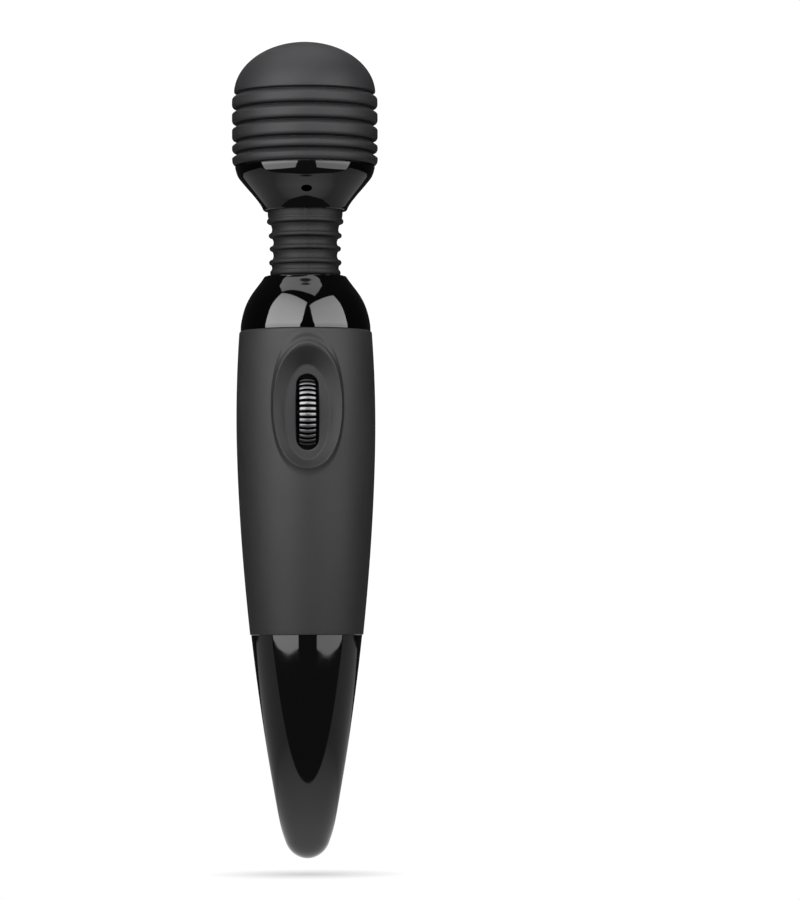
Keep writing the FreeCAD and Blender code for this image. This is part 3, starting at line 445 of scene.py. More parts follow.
def lead_run(name, side, low, high):
    """One motor wire's straight run between two heights."""
    steps = 8
    centres = []
    for step in range(steps + 1):
        centres.append(Vector((side * LEAD_X * MM, 0, height(low + (high - low) * step / steps))))
    across = [Vector((1, 0, 0))] * len(centres)
    up = [Vector((0, 1, 0))] * len(centres)
    return swept_wire(name, centres, across, up, LEAD_R * MM)


def neck_core(chain):
    """Spring and motor wires inside the bellows, in four runs that match its spans."""
    springs = []
    leads = []
    last = len(chain) - 2
    for index in range(last + 1):
        start = RIBS[index][1]
        end = RIBS[index + 1][1]
        low = [SPRING_Z[0] if index == 0 else start, LEAD_Z[0] if index == 0 else start]
        high = [SPRING_Z[1] if index == last else end, LEAD_Z[1] if index == last else end]
        run = coil_run("neck_coil_%d" % (index + 1), low[0], high[0])
        springs.append(run)
        wires = [lead_run("neck_wire_left_%d" % (index + 1), -1, low[1], high[1]),
                 lead_run("neck_wire_right_%d" % (index + 1), 1, low[1], high[1])]
        leads += wires
        for piece in [run] + wires:
            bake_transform(piece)
    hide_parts("neck_spring")
    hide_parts("neck_leads")
    return [(piece, "spring_steel") for piece in springs] + [(piece, "lead_red") for piece in leads]


# ---------------------------------------------------------------- shoulder, tail

def shoulder_gloss():
    """Polished dome on top of the grip, with a bevelled mouth round the neck."""
    dome = smooth_through([(25.996, 210.55), (25.966, 212.2), (25.664, 214.4), (25.186, 216.6),
                           (24.496, 219.0), (23.573, 221.4), (22.338, 223.8), (20.761, 226.2),
                           (18.938, 228.6), (17.162, 231.0), (16.67, 231.8)], 6)
    mouth = [(16.3, 232.2), (15.6, 232.4), (15.1, 232.4), (14.8, 232.0)]
    inside = [(14.8, 228.4), (16.8, 228.4), (16.8, 225.9), (18.2, 225.9), (18.2, 222.0),
              (21.0, 216.0), (21.0, 206.4), (23.0, 206.4), (23.0, 210.4), (25.8, 210.4)]
    dome_piece = lathe("shoulder_gloss", dome + mouth + inside, segments=GLOSS_SEGMENTS, sharp_deg=32)
    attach(dome_piece, "handle")
    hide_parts("shoulder_collar")
    return dome_piece


def tail_gloss():
    """Polished tail cap: long cone, rounded tip, small bevel round its mouth."""
    tip = [(0, 0), (1.6, 0.15), (3.1, 0.6), (4.9, 1.55), (6.6, 3.0), (8.1, 5.2), (9.1, 7.8),
           (10.0, 10.6), (11.1, 15.0)]
    cone = [(13.715, 29.4), (16.107, 43.8), (18.275, 58.2), (20.218, 72.6), (21.389, 82.2),
            (21.776, 85.565), (22.151, 88.93)]
    outside = smooth_through(tip + cone, 7)
    mouth = [(22.08, 89.0), (19.95, 89.0), (19.95, 79.0), (18.3, 77.9), (18.3, 74.3),
             (16.6, 74.3), (16.6, 72.0), (15.8, 58.0), (13.6, 43.8), (11.2, 29.4), (8.4, 15.0),
             (5.6, 7.5), (0, 5.5)]
    cap = lathe("tail_gloss", outside + mouth, segments=GLOSS_SEGMENTS, sharp_deg=35)
    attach(cap, "tail")
    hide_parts("tail_cap")
    return cap


# ---------------------------------------------------------------- grip sleeve

# Ends of the sleeve and its widest level, then how far it narrows to each end and how evenly.
GRIP_LOW, GRIP_WIDE, GRIP_HIGH = 89.04, 174.0, 210.4
GRIP_R = 27.8
NARROW_LOW, CURVE_LOW = 5.2, 1.75
NARROW_HIGH, CURVE_HIGH = 1.3, 2
EDGE_LOW, EDGE_HIGH = 0.15, 1.0
WALL = 1.45
FLOOR_DEPTH = 22.8
SLOT_HALF = (4.5, 15.0)
SLOT_Z = 177.0
SLOT_ROLL = 0.4
SLOT_TOOL_Y = -35
SLOT_TOOL_LENGTH = 20
# Slopes of the dish as ovals that change with depth: (depth, half width, half height, level) at
# the shallow end, then the change of each of the last three per millimetre.
FLANK = ((22.0, 15.1, 39.5, 179.6), (-0.356, -2.375, 0.0))
BOWL = ((22.8, 8.7, 18.9, 176.9), (1.448, 1.0, 0.418))
BISECTIONS = 16
# Depths between which the flank and the bowl are looked for.
FLANK_SPAN = (8.0, 32.0)
BOWL_SPAN = (FLOOR_DEPTH, 34.0)
# The dish changes nothing beyond this height from its middle, or nearer to the back than this.
DISH_REACH = 31
DISH_BACK = 10
RIM_HALF = 27.0
# Shallow moat that runs round the upper end of the rim.
MOAT_LEVEL = 180.0
MOAT_OUTER = (15.3, 28.6)
MOAT_INNER = (13.5, 23.9)
MOAT_DEPTH = 0.75
# Fine mesh runs this far to either side of the dish, and from this level up.
FINE_HALF_WIDTH, FINE_R = 15.6, 26.0
FINE_LOW_Z = 151.0
EDGE_STEPS = 6


def grip_radius(z):
    """Radius of the grip's outer surface, rounded over at both ends."""
    if z < GRIP_WIDE:
        r = GRIP_R - NARROW_LOW * ((GRIP_WIDE - z) / (GRIP_WIDE - GRIP_LOW)) ** CURVE_LOW
    else:
        r = GRIP_R - NARROW_HIGH * ((z - GRIP_WIDE) / (GRIP_HIGH - GRIP_WIDE)) ** CURVE_HIGH
    for end, edge in [(z - GRIP_LOW, EDGE_LOW), (GRIP_HIGH - z, EDGE_HIGH)]:
        if end < edge:
            r -= edge - math.sqrt(max(0.0, edge ** 2 - (edge - end) ** 2))
    return r


def slope_depth(x, z, slope, low, high):
    """Depth at which one of the dish's slopes passes through a place on the front."""
    (depth, half_x, half_z, level), (grow_x, grow_z, rise) = slope
    growing = grow_x > 0
    for _ in range(BISECTIONS):
        middle = (low + high) / 2
        t = middle - depth
        ratio = math.hypot(x / (half_x + grow_x * t),
                           (z - level - rise * t) / (half_z + grow_z * t))
        if (ratio > 1) == growing:
            low = middle
        else:
            high = middle
    return (low + high) / 2


def larger(a, b, blend):
    """The larger of two depths, with the corner between them rounded."""
    near = max(blend - abs(a - b), 0.0) / blend
    return max(a, b) + near * near * blend / 4


def ease(t):
    """Smooth step."""
    t = min(max(t, 0.0), 1.0)
    return t * t * (3 - 2 * t)


def dished(x, y, z):
    """Sideways place to the new y: the rim raised, the dish sunk and the slot's edge rolled."""
    rise = z - FLANK[0][3]
    if abs(rise) > DISH_REACH or -y < DISH_BACK:
        return y
    end = min(abs(rise) / RIM_HALF, 1.0)
    top = max(rise, 0.0) / RIM_HALF
    # The corners between the slopes are rounded more and more towards the ends of the rim.
    outside = larger(-y, slope_depth(x, z, FLANK, *FLANK_SPAN), 0.06 + 0.55 * end ** 3)
    bowl = larger(slope_depth(x, z, BOWL, *BOWL_SPAN), FLOOR_DEPTH, 0.5)
    outer = math.hypot(x / MOAT_OUTER[0], (z - MOAT_LEVEL) / MOAT_OUTER[1])
    inner = math.hypot(x / MOAT_INNER[0], (z - MOAT_LEVEL) / MOAT_INNER[1])
    if outer < 1 < inner:
        across = (1 - outer) / (inner - outer)
        outside -= MOAT_DEPTH * ease(top * 1.5 - 0.5) * math.sin(math.pi * across) ** 2
    depth = -larger(-outside, -bowl, 0.3 + 1.9 * top ** 2)
    away = math.hypot(x, max(abs(z - SLOT_Z) - SLOT_HALF[1] + SLOT_HALF[0], 0.0)) - SLOT_HALF[0]
    if away < SLOT_ROLL:
        inside = SLOT_ROLL - max(away, 0.0)
        depth -= SLOT_ROLL - math.sqrt(SLOT_ROLL ** 2 - inside ** 2)
    return -depth


def column_angles():
    """Angles of the sleeve's mesh columns: fine over the dish, coarser round the back."""
    fine = math.asin(FINE_HALF_WIDTH / FINE_R)
    fine_steps = 220
    rest_steps = 110
    angles = [-fine + 2 * fine * step / fine_steps for step in range(fine_steps)]
    rest = 2 * math.pi - 2 * fine
    angles += [fine + rest * step / rest_steps for step in range(rest_steps)]
    return angles


def row_levels():
    """Heights of the sleeve's mesh rows: fine over the dish and at the rounded ends."""
    turns = [math.pi / 2 * step / EDGE_STEPS for step in range(EDGE_STEPS + 1)]
    low = GRIP_LOW + EDGE_LOW
    top = GRIP_HIGH - EDGE_HIGH
    levels = [GRIP_LOW + EDGE_LOW * (1 - math.cos(turn)) for turn in turns[:-1]]
    for start, end, steps in [(low, FINE_LOW_Z, 40), (FINE_LOW_Z, top, 230)]:
        levels += [start + (end - start) * step / steps for step in range(steps)]
    levels += [top + EDGE_HIGH * math.sin(turn) for turn in turns]
    return levels


def slot_tool():
    """Round-ended bar that cuts the wheel's slot."""
    half_x, half_z = SLOT_HALF
    straight = half_z - half_x
    points = []
    steps = 24
    for step in range(steps + 1):
        angle = math.pi * step / steps
        points.append((half_x * math.cos(angle), straight + half_x * math.sin(angle)))
    for step in range(steps + 1):
        angle = math.pi * (1 + step / steps)
        points.append((half_x * math.cos(angle), -straight + half_x * math.sin(angle)))
    work = bmesh.new()
    near = [work.verts.new((x * MM, SLOT_TOOL_Y * MM, height(SLOT_Z + z))) for x, z in points]
    face = work.faces.new(near)
    grown = bmesh.ops.extrude_face_region(work, geom=[face])
    moved = [v for v in grown["geom"] if isinstance(v, bmesh.types.BMVert)]
    bmesh.ops.translate(work, verts=moved, vec=(0, SLOT_TOOL_LENGTH * MM, 0))
    bmesh.ops.recalc_face_normals(work, faces=work.faces)
    mesh = bpy.data.meshes.new("slot_tool")
    work.to_mesh(mesh)
    work.free()
    return cutter("slot_tool", mesh)


def outer_rows(angles, levels):
    """Rows of (x, y, z) millimetre points on the sleeve's outer surface."""
    rows = []
    for z in levels:
        radius = grip_radius(z)
        row = []
        for angle in angles:
            x = radius * math.sin(angle)
            y = -radius * math.cos(angle)
            row.append((x, dished(x, y, z) if y < 0 else y, z))
        rows.append(row)
    return rows


def moved_in(point, inset):
    """Point brought nearer to the wand's axis, in metres at its real height."""
    x, y, z = point
    length = math.hypot(x, y)
    shrink = (length - inset) / length * MM
    return (x * shrink, y * shrink, height(z))


def grip_sleeve_skin():
    """Soft-touch sleeve with its thumb dish, raised rim and wheel slot."""
    angles = column_angles()
    surface = outer_rows(angles, row_levels())
    rows = [[moved_in(point, 0) for point in row] for row in surface]
    rows += [[moved_in(point, WALL) for point in row] for row in surface[::-1]]
    verts = [point for row in rows for point in row]
    wide = len(angles)
    faces = []
    for low in range(len(rows)):
        high = (low + 1) % len(rows)
        for step in range(wide):
            after = (step + 1) % wide
            faces.append((low * wide + step, low * wide + after,
                          high * wide + after, high * wide + step))
    mesh = bpy.data.meshes.new("grip_sleeve_skin")
    mesh.from_pydata(verts, [], faces)
    sleeve = finish_mesh("grip_sleeve_skin", mesh, 40)
    carve(sleeve, slot_tool())
    shade(sleeve.data, 42)
    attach(sleeve, "handle")
    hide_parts("grip_sleeve")
    return sleeve


# ---------------------------------------------------------------- speed wheel

TEETH = 46
WHEEL_R = 17.0
WHEEL_EDGE_R = 16.2
WHEEL_HALF = 3.4
TOOTH_DEPTH = 1.05
TOOTH_LAND = 0.50
TOOTH_FOOT = 0.72
TOOTH_ROUND = 0.10
STEPS_A_TOOTH = 16


def tooth_height(turn):
    """0 in a gap and 1 on a tooth, for a place within one tooth's pitch from 0 to 1."""
    side = abs(turn - 0.5) * 2
    if side <= TOOTH_LAND:
        return 1 - TOOTH_ROUND * (side / TOOTH_LAND) ** 6
    if side >= TOOTH_FOOT:
        return 0.0
    return (1 - TOOTH_ROUND) * (1 - ease((side - TOOTH_LAND) / (TOOTH_FOOT - TOOTH_LAND)))


def wheel_axis():
    """Middle of the wheel."""
    return Vector([(a + b) / 2 for a, b in zip(*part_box("thumbwheel"))])


def speed_wheel_rim():
    """Crowned wheel with flat-topped teeth, a thin web and a hub."""
    axis = wheel_axis()
    around = TEETH * STEPS_A_TOOTH
    across = [-3.4, -3.25, -3.0, -2.4, -1.6, -0.8, 0, 0.8, 1.6, 2.4, 3.0, 3.25, 3.4]
    edge_drop = {3.4: 0.32, 3.25: 0.12, 3.0: 0.02}
    rings = []
    for x in across:
        crown = WHEEL_R - (WHEEL_R - WHEEL_EDGE_R) * (x / WHEEL_HALF) ** 2
        drop = edge_drop.get(abs(x), 0.0)
        row = []
        for step in range(around):
            tall = tooth_height((step % STEPS_A_TOOTH) / STEPS_A_TOOTH)
            radius = crown - drop * tall - TOOTH_DEPTH * (1 - tall)
            row.append((x, radius, step))
        rings.append(row)
    for x, radius in [(3.4, 12.6), (1.5, 12.0), (1.5, 5.0), (3.4, 4.4), (3.4, 1.5),
                      (-3.4, 1.5), (-3.4, 4.4), (-1.5, 5.0), (-1.5, 12.0), (-3.4, 12.6)]:
        rings.append([(x, radius, step) for step in range(around)])
    verts = []
    for ring in rings:
        for x, radius, step in ring:
            angle = 2 * math.pi * step / around
            verts.append((x * MM, radius * MM * math.cos(angle), radius * MM * math.sin(angle)))
    faces = []
    for low in range(len(rings)):
        high = (low + 1) % len(rings)
        for step in range(around):
            after = (step + 1) % around
            faces.append((low * around + step, low * around + after,
                          high * around + after, high * around + step))
    mesh = bpy.data.meshes.new("speed_wheel_rim")
    mesh.from_pydata(verts, [], faces)
    mesh.transform(Matrix.Translation(axis))
    wheel = finish_mesh("speed_wheel_rim", mesh, 38)
    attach(wheel, "speed_wheel")
    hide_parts("thumbwheel")
    return wheel


def axle_washers():
    """Two black spacers on the wheel's axle, between the hub and its cradle."""
    ring = [(1.55, 0.1), (1.65, 0), (2.9, 0), (3.0, 0.1), (3.0, 1.3), (2.9, 1.4), (1.65, 1.4),
            (1.55, 1.3)]
    turn = Matrix.Rotation(math.pi / 2, 4, "Y")
    washers = []
    for name, start in [("axle_washer_left", -5.0), ("axle_washer_right", 3.6)]:
        washer = lathe(name, ring, segments=48)
        place = Matrix.Translation(wheel_axis() + Vector((start * MM, 0, 0)))
        washer.data.transform(place @ turn @ Matrix.Translation((0, 0, -TIP)))
        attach(washer, "handle")
        washers.append(washer)
    return washers


def round_cornered(half_x, half_z, corner):
    """Closed loop of (sideways, height) points: an upright rectangle with round corners."""
    steps = 12
    points = []
    for quarter, (side, end) in enumerate([(1, 1), (-1, 1), (-1, -1), (1, -1)]):
        for step in range(steps + 1):
            angle = math.pi / 2 * (quarter + step / steps)
            points.append((side * (half_x - corner) + corner * math.cos(angle),
                           end * (half_z - corner) + corner * math.sin(angle)))
    return points


# Painted-shade frame in the slot: (half width, half height, corner radius) outside and inside, then
# its depths.
SHADE_FRAME_OUTER = (4.45, 14.95, 4.3)
SHADE_FRAME_INNER = (3.85, 13.35, 1.4)
SHADE_FRAME_Y = (-22.1, -21.5)


def slot_shade_frame():
    """Thin black frame inside the wheel's slot, close to the wheel's sides and ends: painted shade
    that hides the wheel's ends deep in the slot.
    """
    loops = []
    outer = round_cornered(*SHADE_FRAME_OUTER)
    inner = round_cornered(*SHADE_FRAME_INNER)
    front, back = SHADE_FRAME_Y
    for points, y in [(outer, front), (inner, front), (inner, back), (outer, back)]:
        loops.append([(x * MM, y * MM, height(SLOT_Z + z)) for x, z in points])
    verts = [vert for loop in loops for vert in loop]
    count = len(loops[0])
    faces = []
    for row in range(len(loops)):
        for step in range(count):
            beside = (step + 1) % count
            above = (row + 1) % len(loops) * count
            faces.append((row * count + step, row * count + beside, above + beside, above + step))
    mesh = bpy.data.meshes.new("slot_shade_frame")
    mesh.from_pydata(verts, [], faces)
    shade_frame = finish_mesh("slot_shade_frame", mesh)
    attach(shade_frame, "handle")
    return shade_frame


# ---------------------------------------------------------------- materials

def new_material(name):
    """New node material, with its nodes, links and shader."""
    material = bpy.data.materials.new(name)
    material.use_nodes = True
    nodes = material.node_tree.nodes
    shader = nodes["Principled BSDF"]
    return material, nodes, material.node_tree.links, shader


def noise(nodes, links, coords, scale, detail=4.0, roughness=0.55):
    """Noise texture in object space."""
    texture = nodes.new("ShaderNodeTexNoise")
    texture.inputs["Scale"].default_value = scale
    texture.inputs["Detail"].default_value = detail
    texture.inputs["Roughness"].default_value = roughness
    links.new(coords.outputs["Object"], texture.inputs["Vector"])
    return texture


def ramp(nodes, links, source, low, high, stops=(0.3, 0.7)):
    """Map a factor to a span of grey or colour."""
    node = nodes.new("ShaderNodeValToRGB")
    node.color_ramp.elements[0].position = stops[0]
    node.color_ramp.elements[1].position = stops[1]
    node.color_ramp.elements[0].color = (*low, 1)
    node.color_ramp.elements[1].color = (*high, 1)
    links.new(source, node.inputs["Fac"])
    return node


def grey(value):
    """The same value for red, green and blue."""
    return (value, value, value)


def bump(nodes, links, source, strength, distance, before=None):
    """Bump node fed by a height, chained after an earlier one."""
    node = nodes.new("ShaderNodeBump")
    node.inputs["Strength"].default_value = strength
    node.inputs["Distance"].default_value = distance
    links.new(source, node.inputs["Height"])
    if before is not None:
        links.new(before.outputs["Normal"], node.inputs["Normal"])
    return node


def soft_plastic(name, base, spread, rough, grain=2600.0, grain_depth=0.00004, specular=0.5):
    """Matte rubber or silicone: fine grain, faint cloudy wear, roughness that varies with it."""
    material, nodes, links, shader = new_material(name)
    coords = nodes.new("ShaderNodeTexCoord")
    clouds = noise(nodes, links, coords, 38.0, 5.0, 0.6)
    fine = noise(nodes, links, coords, grain, 2.0, 0.5)
    tone = ramp(nodes, links, clouds.outputs["Fac"], [c * (1 - spread) for c in base],
                [c * (1 + spread) for c in base])
    links.new(tone.outputs["Color"], shader.inputs["Base Color"])
    rough_span = ramp(nodes, links, clouds.outputs["Fac"], grey(rough - 0.04), grey(rough + 0.04))
    links.new(rough_span.outputs["Color"], shader.inputs["Roughness"])
    skin = bump(nodes, links, fine.outputs["Fac"], 0.35, grain_depth)
    wave = bump(nodes, links, clouds.outputs["Fac"], 0.12, 0.0002, skin)
    links.new(wave.outputs["Normal"], shader.inputs["Normal"])
    shader.inputs["Specular IOR Level"].default_value = specular
    return material


def gloss_plastic(name, base, rough):
    """Polished moulding: faint flow lines, micro scratches, very slight orange peel."""
    material, nodes, links, shader = new_material(name)
    coords = nodes.new("ShaderNodeTexCoord")
    clouds = noise(nodes, links, coords, 22.0, 3.0, 0.5)
    scuff = noise(nodes, links, coords, 420.0, 6.0, 0.7)
    tone = ramp(nodes, links, clouds.outputs["Fac"], [c * 0.8 for c in base],
                [c * 1.2 for c in base])
    links.new(tone.outputs["Color"], shader.inputs["Base Color"])
    rough_span = ramp(nodes, links, scuff.outputs["Fac"], grey(rough * 0.8), grey(rough * 1.6))
    links.new(rough_span.outputs["Color"], shader.inputs["Roughness"])
    peel = bump(nodes, links, clouds.outputs["Fac"], 0.02, 0.00002)
    links.new(peel.outputs["Normal"], shader.inputs["Normal"])
    return material


def metal(name, base, rough):
    """Plated or drawn metal with streaky roughness and faint tarnish."""
    material, nodes, links, shader = new_material(name)
    coords = nodes.new("ShaderNodeTexCoord")
    stretch = nodes.new("ShaderNodeMapping")
    stretch.inputs["Scale"].default_value = (1.0, 1.0, 0.08)
    links.new(coords.outputs["Object"], stretch.inputs["Vector"])
    streaks = nodes.new("ShaderNodeTexNoise")
    streaks.inputs["Scale"].default_value = 900.0
    streaks.inputs["Detail"].default_value = 3.0
    links.new(stretch.outputs["Vector"], streaks.inputs["Vector"])
    tarnish = noise(nodes, links, coords, 120.0)
    tone = ramp(nodes, links, tarnish.outputs["Fac"], [c * 0.82 for c in base], base)
    links.new(tone.outputs["Color"], shader.inputs["Base Color"])
    rough_span = ramp(nodes, links, streaks.outputs["Fac"], grey(rough * 0.7), grey(rough * 1.3))
    links.new(rough_span.outputs["Color"], shader.inputs["Roughness"])
    lines = bump(nodes, links, streaks.outputs["Fac"], 0.15, 0.00002)
    links.new(lines.outputs["Normal"], shader.inputs["Normal"])
    shader.inputs["Metallic"].default_value = 1.0
    return material


def teeth_with_painted_gap_shade(name, base, rough):
    """Satin teeth with painted shade: the colour goes black down in the gaps between them."""
    material, nodes, links, shader = new_material(name)
    coords = nodes.new("ShaderNodeTexCoord")
    axis = wheel_axis()
    reach = 0.02
    centre = nodes.new("ShaderNodeMapping")
    centre.inputs["Scale"].default_value = (1.53 / reach, 1 / reach, 1 / reach)
    centre.inputs["Location"].default_value = (0, -axis[1] / reach, -axis[2] / reach)
    links.new(coords.outputs["Object"], centre.inputs["Vector"])
    # Painted shade: a gradient from the axle turns the colour black below the tips of the teeth.
    gap_shade_gradient = nodes.new("ShaderNodeTexGradient")
    gap_shade_gradient.gradient_type = "SPHERICAL"
    links.new(centre.outputs["Vector"], gap_shade_gradient.inputs["Vector"])
    tone = ramp(nodes, links, gap_shade_gradient.outputs["Fac"], base, grey(0.001), (0.154, 0.172))
    links.new(tone.outputs["Color"], shader.inputs["Base Color"])
    scuff = noise(nodes, links, coords, 700.0, 5.0, 0.6)
    rough_span = ramp(nodes, links, scuff.outputs["Fac"], grey(rough * 0.85), grey(rough * 1.2))
    links.new(rough_span.outputs["Color"], shader.inputs["Roughness"])
    grain = bump(nodes, links, scuff.outputs["Fac"], 0.1, 0.00002)
    links.new(grain.outputs["Normal"], shader.inputs["Normal"])
    shader.inputs["Metallic"].default_value = 1.0
    return material


def solder_mask(name):
    """Circuit board green over faint copper tracks."""
    material, nodes, links, shader = new_material(name)
    coords = nodes.new("ShaderNodeTexCoord")
    tracks = nodes.new("ShaderNodeTexBrick")
    tracks.inputs["Scale"].default_value = 160.0
    tracks.inputs["Color1"].default_value = (0.012, 0.075, 0.03, 1)
    tracks.inputs["Color2"].default_value = (0.014, 0.085, 0.034, 1)
    tracks.inputs["Mortar"].default_value = (0.03, 0.16, 0.06, 1)
    tracks.inputs["Mortar Size"].default_value = 0.03
    links.new(coords.outputs["Object"], tracks.inputs["Vector"])
    links.new(tracks.outputs["Color"], shader.inputs["Base Color"])
    lines = bump(nodes, links, tracks.outputs["Fac"], 0.3, 0.00005)
    links.new(lines.outputs["Normal"], shader.inputs["Normal"])
    shader.inputs["Roughness"].default_value = 0.35
    return material


def build_materials():
    """One material for each slot of the record, and the black of the painted-shade frame in the
    wheel's slot.
    """
    return {
        "soft_touch_grip": soft_plastic("soft_touch_grip", (0.0112, 0.0110, 0.0120), 0.10, 0.58,
                                        specular=0.30),
        "head_silicone": soft_plastic("head_silicone", (0.0128, 0.0126, 0.0137), 0.10, 0.56,
                                      specular=0.24),
        "neck_rubber": soft_plastic("neck_rubber", (0.0064, 0.0062, 0.0069), 0.12, 0.58,
                                    1900.0, 0.00006, specular=0.2),
        "seal_rubber": soft_plastic("seal_rubber", (0.01, 0.01, 0.01), 0.15, 0.5),
        "gloss_black": gloss_plastic("gloss_black", (0.0012, 0.0012, 0.0013), 0.035),
        "wheel_plastic": teeth_with_painted_gap_shade("wheel_plastic", (0.13, 0.13, 0.134), 0.38),
        "shell_plastic": soft_plastic("shell_plastic", (0.012, 0.012, 0.012), 0.1, 0.5),
        "barrel_plastic": soft_plastic("barrel_plastic", (0.03, 0.03, 0.032), 0.1, 0.45),
        "component_black": soft_plastic("component_black", (0.015, 0.015, 0.015), 0.2, 0.45),
        # Near-black of the frame in the wheel's slot, which stands in for the slot's shade.
        "recess_black": soft_plastic("recess_black", (0.0007, 0.0007, 0.0007), 0.2, 0.7,
                                     specular=0.02),
        "lead_red": soft_plastic("lead_red", (0.3, 0.02, 0.015), 0.1, 0.4),
        "screw_steel": metal("screw_steel", (0.56, 0.56, 0.57), 0.3),
        "spring_steel": metal("spring_steel", (0.45, 0.45, 0.46), 0.28),
        "motor_steel": metal("motor_steel", (0.5, 0.5, 0.5), 0.32),
        "magnet_grey": metal("magnet_grey", (0.1, 0.1, 0.105), 0.55),
        "weight_metal": metal("weight_metal", (0.35, 0.34, 0.33), 0.45),
        "winding_copper": metal("winding_copper", (0.65, 0.28, 0.12), 0.28),
        "bush_bronze": metal("bush_bronze", (0.55, 0.36, 0.16), 0.35),
        "contact_metal": metal("contact_metal", (0.66, 0.64, 0.58), 0.25),
        "cell_jacket": gloss_plastic("cell_jacket", (0.13, 0.14, 0.16), 0.25),
        "pot_metal": metal("pot_metal", (0.6, 0.6, 0.6), 0.35),
        "board_green": solder_mask("board_green"),
    }


def dress(pieces):
    """Give each new piece its material, and each CAD node the material of its slot."""
    for piece, material_name in pieces:
        piece.data.materials.clear()
        piece.data.materials.append(MATERIALS[material_name])
    slots = {entry["node"]: entry["material_slot"] for entry in frame["record"]["subparts"]}
    for node, obj in frame["nodes"].items():
        for index in range(max(1, len(obj.material_slots))):
            if not obj.material_slots:
                obj.data.materials.append(MATERIALS[slots[node]])
            obj.material_slots[index].link = "OBJECT"
            obj.material_slots[index].material = MATERIALS[slots[node]]


# ---------------------------------------------------------------- stage

# Sideways and away in metres, and the height in millimetres above the wand's tip.
CAMERA_PLACE = (-0.053, -1.9, 90.0)
CAMERA_PITCH_DEG = 2.19
CAMERA_ROLL_DEG = 0.26
CAMERA_YAW_DEG = -2.72
LENS_MM = 190.3


def camera():
    """Long lens near the foot of the wand, tilted a little upwards."""
    data = bpy.data.cameras.new("camera")
    data.lens = LENS_MM
    data.sensor_width = 36.0
    data.clip_start = 0.05
    data.clip_end = 50.0
    obj = bpy.data.objects.new("camera", data)
    x, y, level = CAMERA_PLACE
    obj.location = (x, y, height(level))
    turns = (90 + CAMERA_PITCH_DEG, CAMERA_ROLL_DEG, CAMERA_YAW_DEG)
    obj.rotation_euler = [math.radians(turn) for turn in turns]
    bpy.context.scene.collection.objects.link(obj)
    bpy.context.scene.camera = obj


def card(name, corners, material):
    """Flat four-sided stage piece."""
    mesh = bpy.data.meshes.new(name)
    mesh.from_pydata(corners, [], [(0, 1, 2, 3)])
    obj = bpy.data.objects.new(name, mesh)
    obj.data.materials.append(material)
    bpy.context.scene.collection.objects.link(obj)
    return obj


def plain_white(name, glow):
    """Stage surface that only glows."""
    material, _, _, shader = new_material(name)
    shader.inputs["Base Color"].default_value = (0, 0, 0, 1)
    shader.inputs["Roughness"].default_value = 0.9
    shader.inputs["Specular IOR Level"].default_value = 0.0
    shader.inputs["Emission Color"].default_value = (1, 1, 1, 1)
    shader.inputs["Emission Strength"].default_value = glow
    return material


def glowing_paper(name, reach, far, near):
    """Paper whose glow changes from near the wand's tip out to a reach in metres; where it is dimmer
    near the tip, as on the floor, that is a painted shadow.
    """
    material = plain_white(name, 1.0)
    nodes = material.node_tree.nodes
    links = material.node_tree.links
    coords = nodes.new("ShaderNodeTexCoord")
    span = nodes.new("ShaderNodeMapping")
    span.inputs["Scale"].default_value = (1 / reach, 1 / reach, 1 / reach)
    links.new(coords.outputs["Object"], span.inputs["Vector"])
    spot = nodes.new("ShaderNodeTexGradient")
    spot.gradient_type = "SPHERICAL"
    links.new(span.outputs["Vector"], spot.inputs["Vector"])
    tone = ramp(nodes, links, spot.outputs["Fac"], grey(far), grey(near), (0.0, 1.0))
    links.new(tone.outputs["Color"], nodes["Principled BSDF"].inputs["Emission Color"])
    return material


SOFTBOX_SIZE = 0.6
SOFTBOX_DISTANCE = 0.80


def softbox(name, azimuth_deg, centre_z, radiance, lean_deg):
    """Square light that leans down at the wand; azimuth 0 is the camera's side, positive is right."""
    data = bpy.data.lights.new(name, "AREA")
    data.shape = "RECTANGLE"
    data.size = SOFTBOX_SIZE
    data.size_y = SOFTBOX_SIZE
    data.energy = radiance * SOFTBOX_SIZE * SOFTBOX_SIZE * math.pi
    obj = bpy.data.objects.new(name, data)
    azimuth = math.radians(azimuth_deg)
    outward = Vector((math.sin(azimuth), -math.cos(azimuth), 0))
    obj.location = outward * SOFTBOX_DISTANCE + Vector((0, 0, TIP + centre_z))
    lean = math.radians(lean_deg)
    facing = -outward * math.cos(lean) - Vector((0, 0, 1)) * math.sin(lean)
    obj.rotation_euler = facing.to_track_quat("-Z", "Y").to_euler()
    obj.visible_glossy = False
    bpy.context.scene.collection.objects.link(obj)


def only_reflected(obj):
    """Show a stage piece in reflections only."""
    obj.visible_camera = False
    obj.visible_diffuse = False
    obj.visible_shadow = False


WINDOW_AZIMUTH_DEG = 46.5
WINDOW_DISTANCE = 0.42


